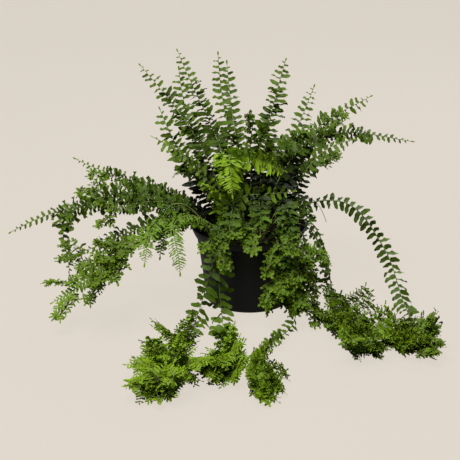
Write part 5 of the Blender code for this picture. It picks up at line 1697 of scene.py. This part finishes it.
class FERN_OT_crown(bpy.types.Operator):
    """Build the scaly rootstock, the young coiled frond and the runners"""

    bl_idname = "fern.crown"
    bl_label = "Crown, crozier and runners"

    def execute(self, context):
        """Build the crown, the crozier and the runners."""
        tools = shared()
        low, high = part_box("crown")
        middle = (low + high) / 2
        reach = (high.x - low.x) / 2
        scales = Foliage()
        draw = random.Random(SEED)
        core = [(middle.x, middle.y, low.z + (high.z - low.z) * 0.92 * (k / 8)) for k in range(7)]
        scales.add_rib(core, reach * 0.82, reach * 0.62, 0.1)
        places, outs, normals = [], [], []
        for k in range(CROWN_SCALES):
            share = k / CROWN_SCALES
            angle = k * math.pi * (3 - math.sqrt(5))
            out = np.array([math.cos(angle), math.sin(angle), 0])
            height = SOIL_TOP - 0.001 + (high.z - SOIL_TOP) * 0.62 * share
            places.append(np.array([middle.x, middle.y, height]) + out * reach * (0.72 - 0.40 * share))
            outs.append(out * (0.30 - 0.2 * share) + np.array([0, 0, 1]))
            normals.append(out)
        lengths = np.array([draw.uniform(0.0030, 0.0042) for _ in places])
        scales.add_leaves(np.array(places), np.array(outs), np.array(normals), lengths, 1.1, SLIM, 0.5, 0.2)
        mesh = grow_foliage("rootstock", scales, tools, tools["scale"], tools["scale"], 1)
        finish_piece("rootstock", mesh, ["crown"])
        name, spot, height = CROZIER
        coil = coil_line(spot, height, 26)
        young = Foliage()
        young.add_rib(coil, COIL_STEM_RADIUS, COIL_TIP_RADIUS, 0.7)
        course = course_of(coil, np.array([0.0, 1.0, 0.0]), 0)
        for side in (1, -1):
            stations = spaced(height * 0.55, course.lengths[-1] - 0.001, 0.0016, 0.2)
            places, ahead, sides, faces = rows_at(course, stations)
            outs = sides * side * 0.6 + faces * 0.5 + ahead * 0.7
            young.add_leaves(places, outs, faces, 0.0024, 1.0, SLIM, 0.6, 0.75)
        mesh = grow_foliage("young_coil", young, tools, tools["young"], tools["rib"], 2)
        finish_piece("young_coil", mesh, ["crozier"])
        for index, (name, spot, way) in enumerate(RUNNERS):
            thin = Foliage()
            thin.add_rib(runner_line(spot, way), RUNNER_RADIUS * 0.8, RUNNER_RADIUS * 0.45, 0.3)
            string = name + "_string"
            mesh = grow_foliage(string, thin, tools, tools["runner"], tools["runner"], index)
            finish_piece(string, mesh, [name])
        return {"FINISHED"}


class FERN_OT_fronds(bpy.types.Operator):
    """Grow every frond with its leaves, crests and tassels"""

    bl_idname = "fern.fronds"
    bl_label = "Fronds"

    def execute(self, context):
        """Grow the fronds on the lines of their solids."""
        tools = shared()
        stands, forks = grow_skeleton()
        for index, (frond, stand, group) in enumerate(zip(FRONDS, stands, forks)):
            foliage = dress_frond(frond, stand, group, random.Random(SEED * 10 + index))
            name = frond.name + "_leaves"
            young = frond.style in YOUNG_STYLES
            leaf = tools["young" if young else "leaf"]
            mesh = grow_foliage(name, foliage, tools, leaf, tools["rib"], index)
            finish_piece(name, mesh, [frond.name])
        return {"FINISHED"}


def aimed(name, data, place, target):
    """A lamp or a camera at a place, turned to a target."""
    thing = linked(name, data)
    thing.location = place
    thing.rotation_euler = (Vector(target) - Vector(place)).to_track_quat("-Z", "Y").to_euler()
    return thing


class FERN_OT_stage(bpy.types.Operator):
    """Set up the pale floor and backdrop, the soft light and the camera"""

    bl_idname = "fern.stage"
    bl_label = "Stage"

    def execute(self, context):
        """Build the stage."""
        look = context.scene.stage_look
        scene = context.scene
        outline = [(-4.0, 0.0)]
        turns = np.linspace(0, math.pi / 2, 14)
        outline += [(2.2 + 1.4 * math.sin(turn), 1.4 - 1.4 * math.cos(turn)) for turn in turns]
        outline.append((3.6, 5.0))
        count = len(outline)
        mesh = mesh_of("studio_floor", [(x, y, z) for x in (-5.0, 5.0) for y, z in outline],
                       [(k, count + k, count + k + 1, k + 1) for k in range(count - 1)])
        if mesh.polygons[0].normal.z < 0:
            mesh.flip_normals()
        mesh.shade_smooth()
        material, made = new_material("floor paper")
        path = made.add("ShaderNodeLightPath").outputs
        seen = made.math("MULTIPLY", path["Is Camera Ray"], FLOOR_GLOW)
        mirrored = made.math("MULTIPLY", path["Is Glossy Ray"], FLOOR_SHEEN)
        made.wire(made.tree.nodes["Principled BSDF"], {
            "Base Color": [c * FLOOR_SHADE for c in look.floor],
            "Roughness": 1.0,
            "Specular IOR Level": 0.0,
            "Emission Color": look.floor,
            "Emission Strength": made.math("ADD", seen, mirrored),
        })
        mesh.materials.append(material)
        floor = linked("studio_floor", mesh)
        world = bpy.data.worlds.new("studio")
        world.use_nodes = True
        made = Tree(world.node_tree)
        seen = made.out("ShaderNodeLightPath", name="Is Camera Ray")
        made.wire(world.node_tree.nodes["Background"], {
            "Color": made.blend(seen, (1.0, 0.99, 0.97), look.floor),
            "Strength": made.out("ShaderNodeMapRange", {0: seen, 3: look.fill, 4: FLOOR_GLOW + 0.02}),
        })
        scene.world = world
        for name, place, size, power in (
                ("key_light", (-0.42, -1.0, 1.9), 1.1, look.key),
                ("side_light", (-1.5, -0.7, 0.5), 0.7, look.key * 0.12),
                ("back_light", (0.7, 1.3, 1.6), 1.3, look.key * 0.50)):
            lamp = bpy.data.lights.new(name, "AREA")
            lamp.size = size
            lamp.energy = power
            aimed(name, lamp, place, LIGHT_AIM)
        lens = bpy.data.cameras.new("camera")
        lens.lens = look.lens
        lens.sensor_width = 36
        scene.camera = aimed("camera", lens, CAMERA_PLACE, CAMERA_AIM)
        scene.view_settings.view_transform = "Standard"
        return {"FINISHED"}


class FERN_PT_panel(bpy.types.Panel):
    """Lists the steps that build the fern"""

    bl_label = "Potted fern"
    bl_idname = "FERN_PT_panel"
    bl_space_type = "VIEW_3D"
    bl_region_type = "UI"
    bl_category = "Fern"

    def draw(self, context):
        """Show the settings and the operators."""
        for name, label in (("pot_look", "Pot and soil"), ("fern_look", "Plant"), ("stage_look", "Stage")):
            box = self.layout.box()
            box.label(text=label)
            look = getattr(context.scene, name)
            for key in look.bl_rna.properties.keys():
                if key not in ("rna_type", "name"):
                    box.prop(look, key)
        for step in STEPS:
            self.layout.operator(step.bl_idname)


STEPS = (FERN_OT_pot, FERN_OT_soil, FERN_OT_crown, FERN_OT_fronds, FERN_OT_stage)
CLASSES = (PotLook, FernLook, StageLook, *STEPS, FERN_PT_panel)
GROUPS = (("pot_look", PotLook), ("fern_look", FernLook), ("stage_look", StageLook))


def register():
    """Add the classes and their settings to Blender."""
    for kind in CLASSES:
        bpy.utils.register_class(kind)
    for name, kind in GROUPS:
        setattr(bpy.types.Scene, name, PointerProperty(type=kind))


def unregister():
    """Take the classes and their settings out again."""
    for name, kind in GROUPS:
        delattr(bpy.types.Scene, name)
    for kind in reversed(CLASSES):
        bpy.utils.unregister_class(kind)


def main():
    """Build every piece in order."""
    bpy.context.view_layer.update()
    register()
    for step in STEPS:
        group, name = step.bl_idname.split(".")
        getattr(getattr(bpy.ops, group), name)()


if __name__ == "__main__":
    main()
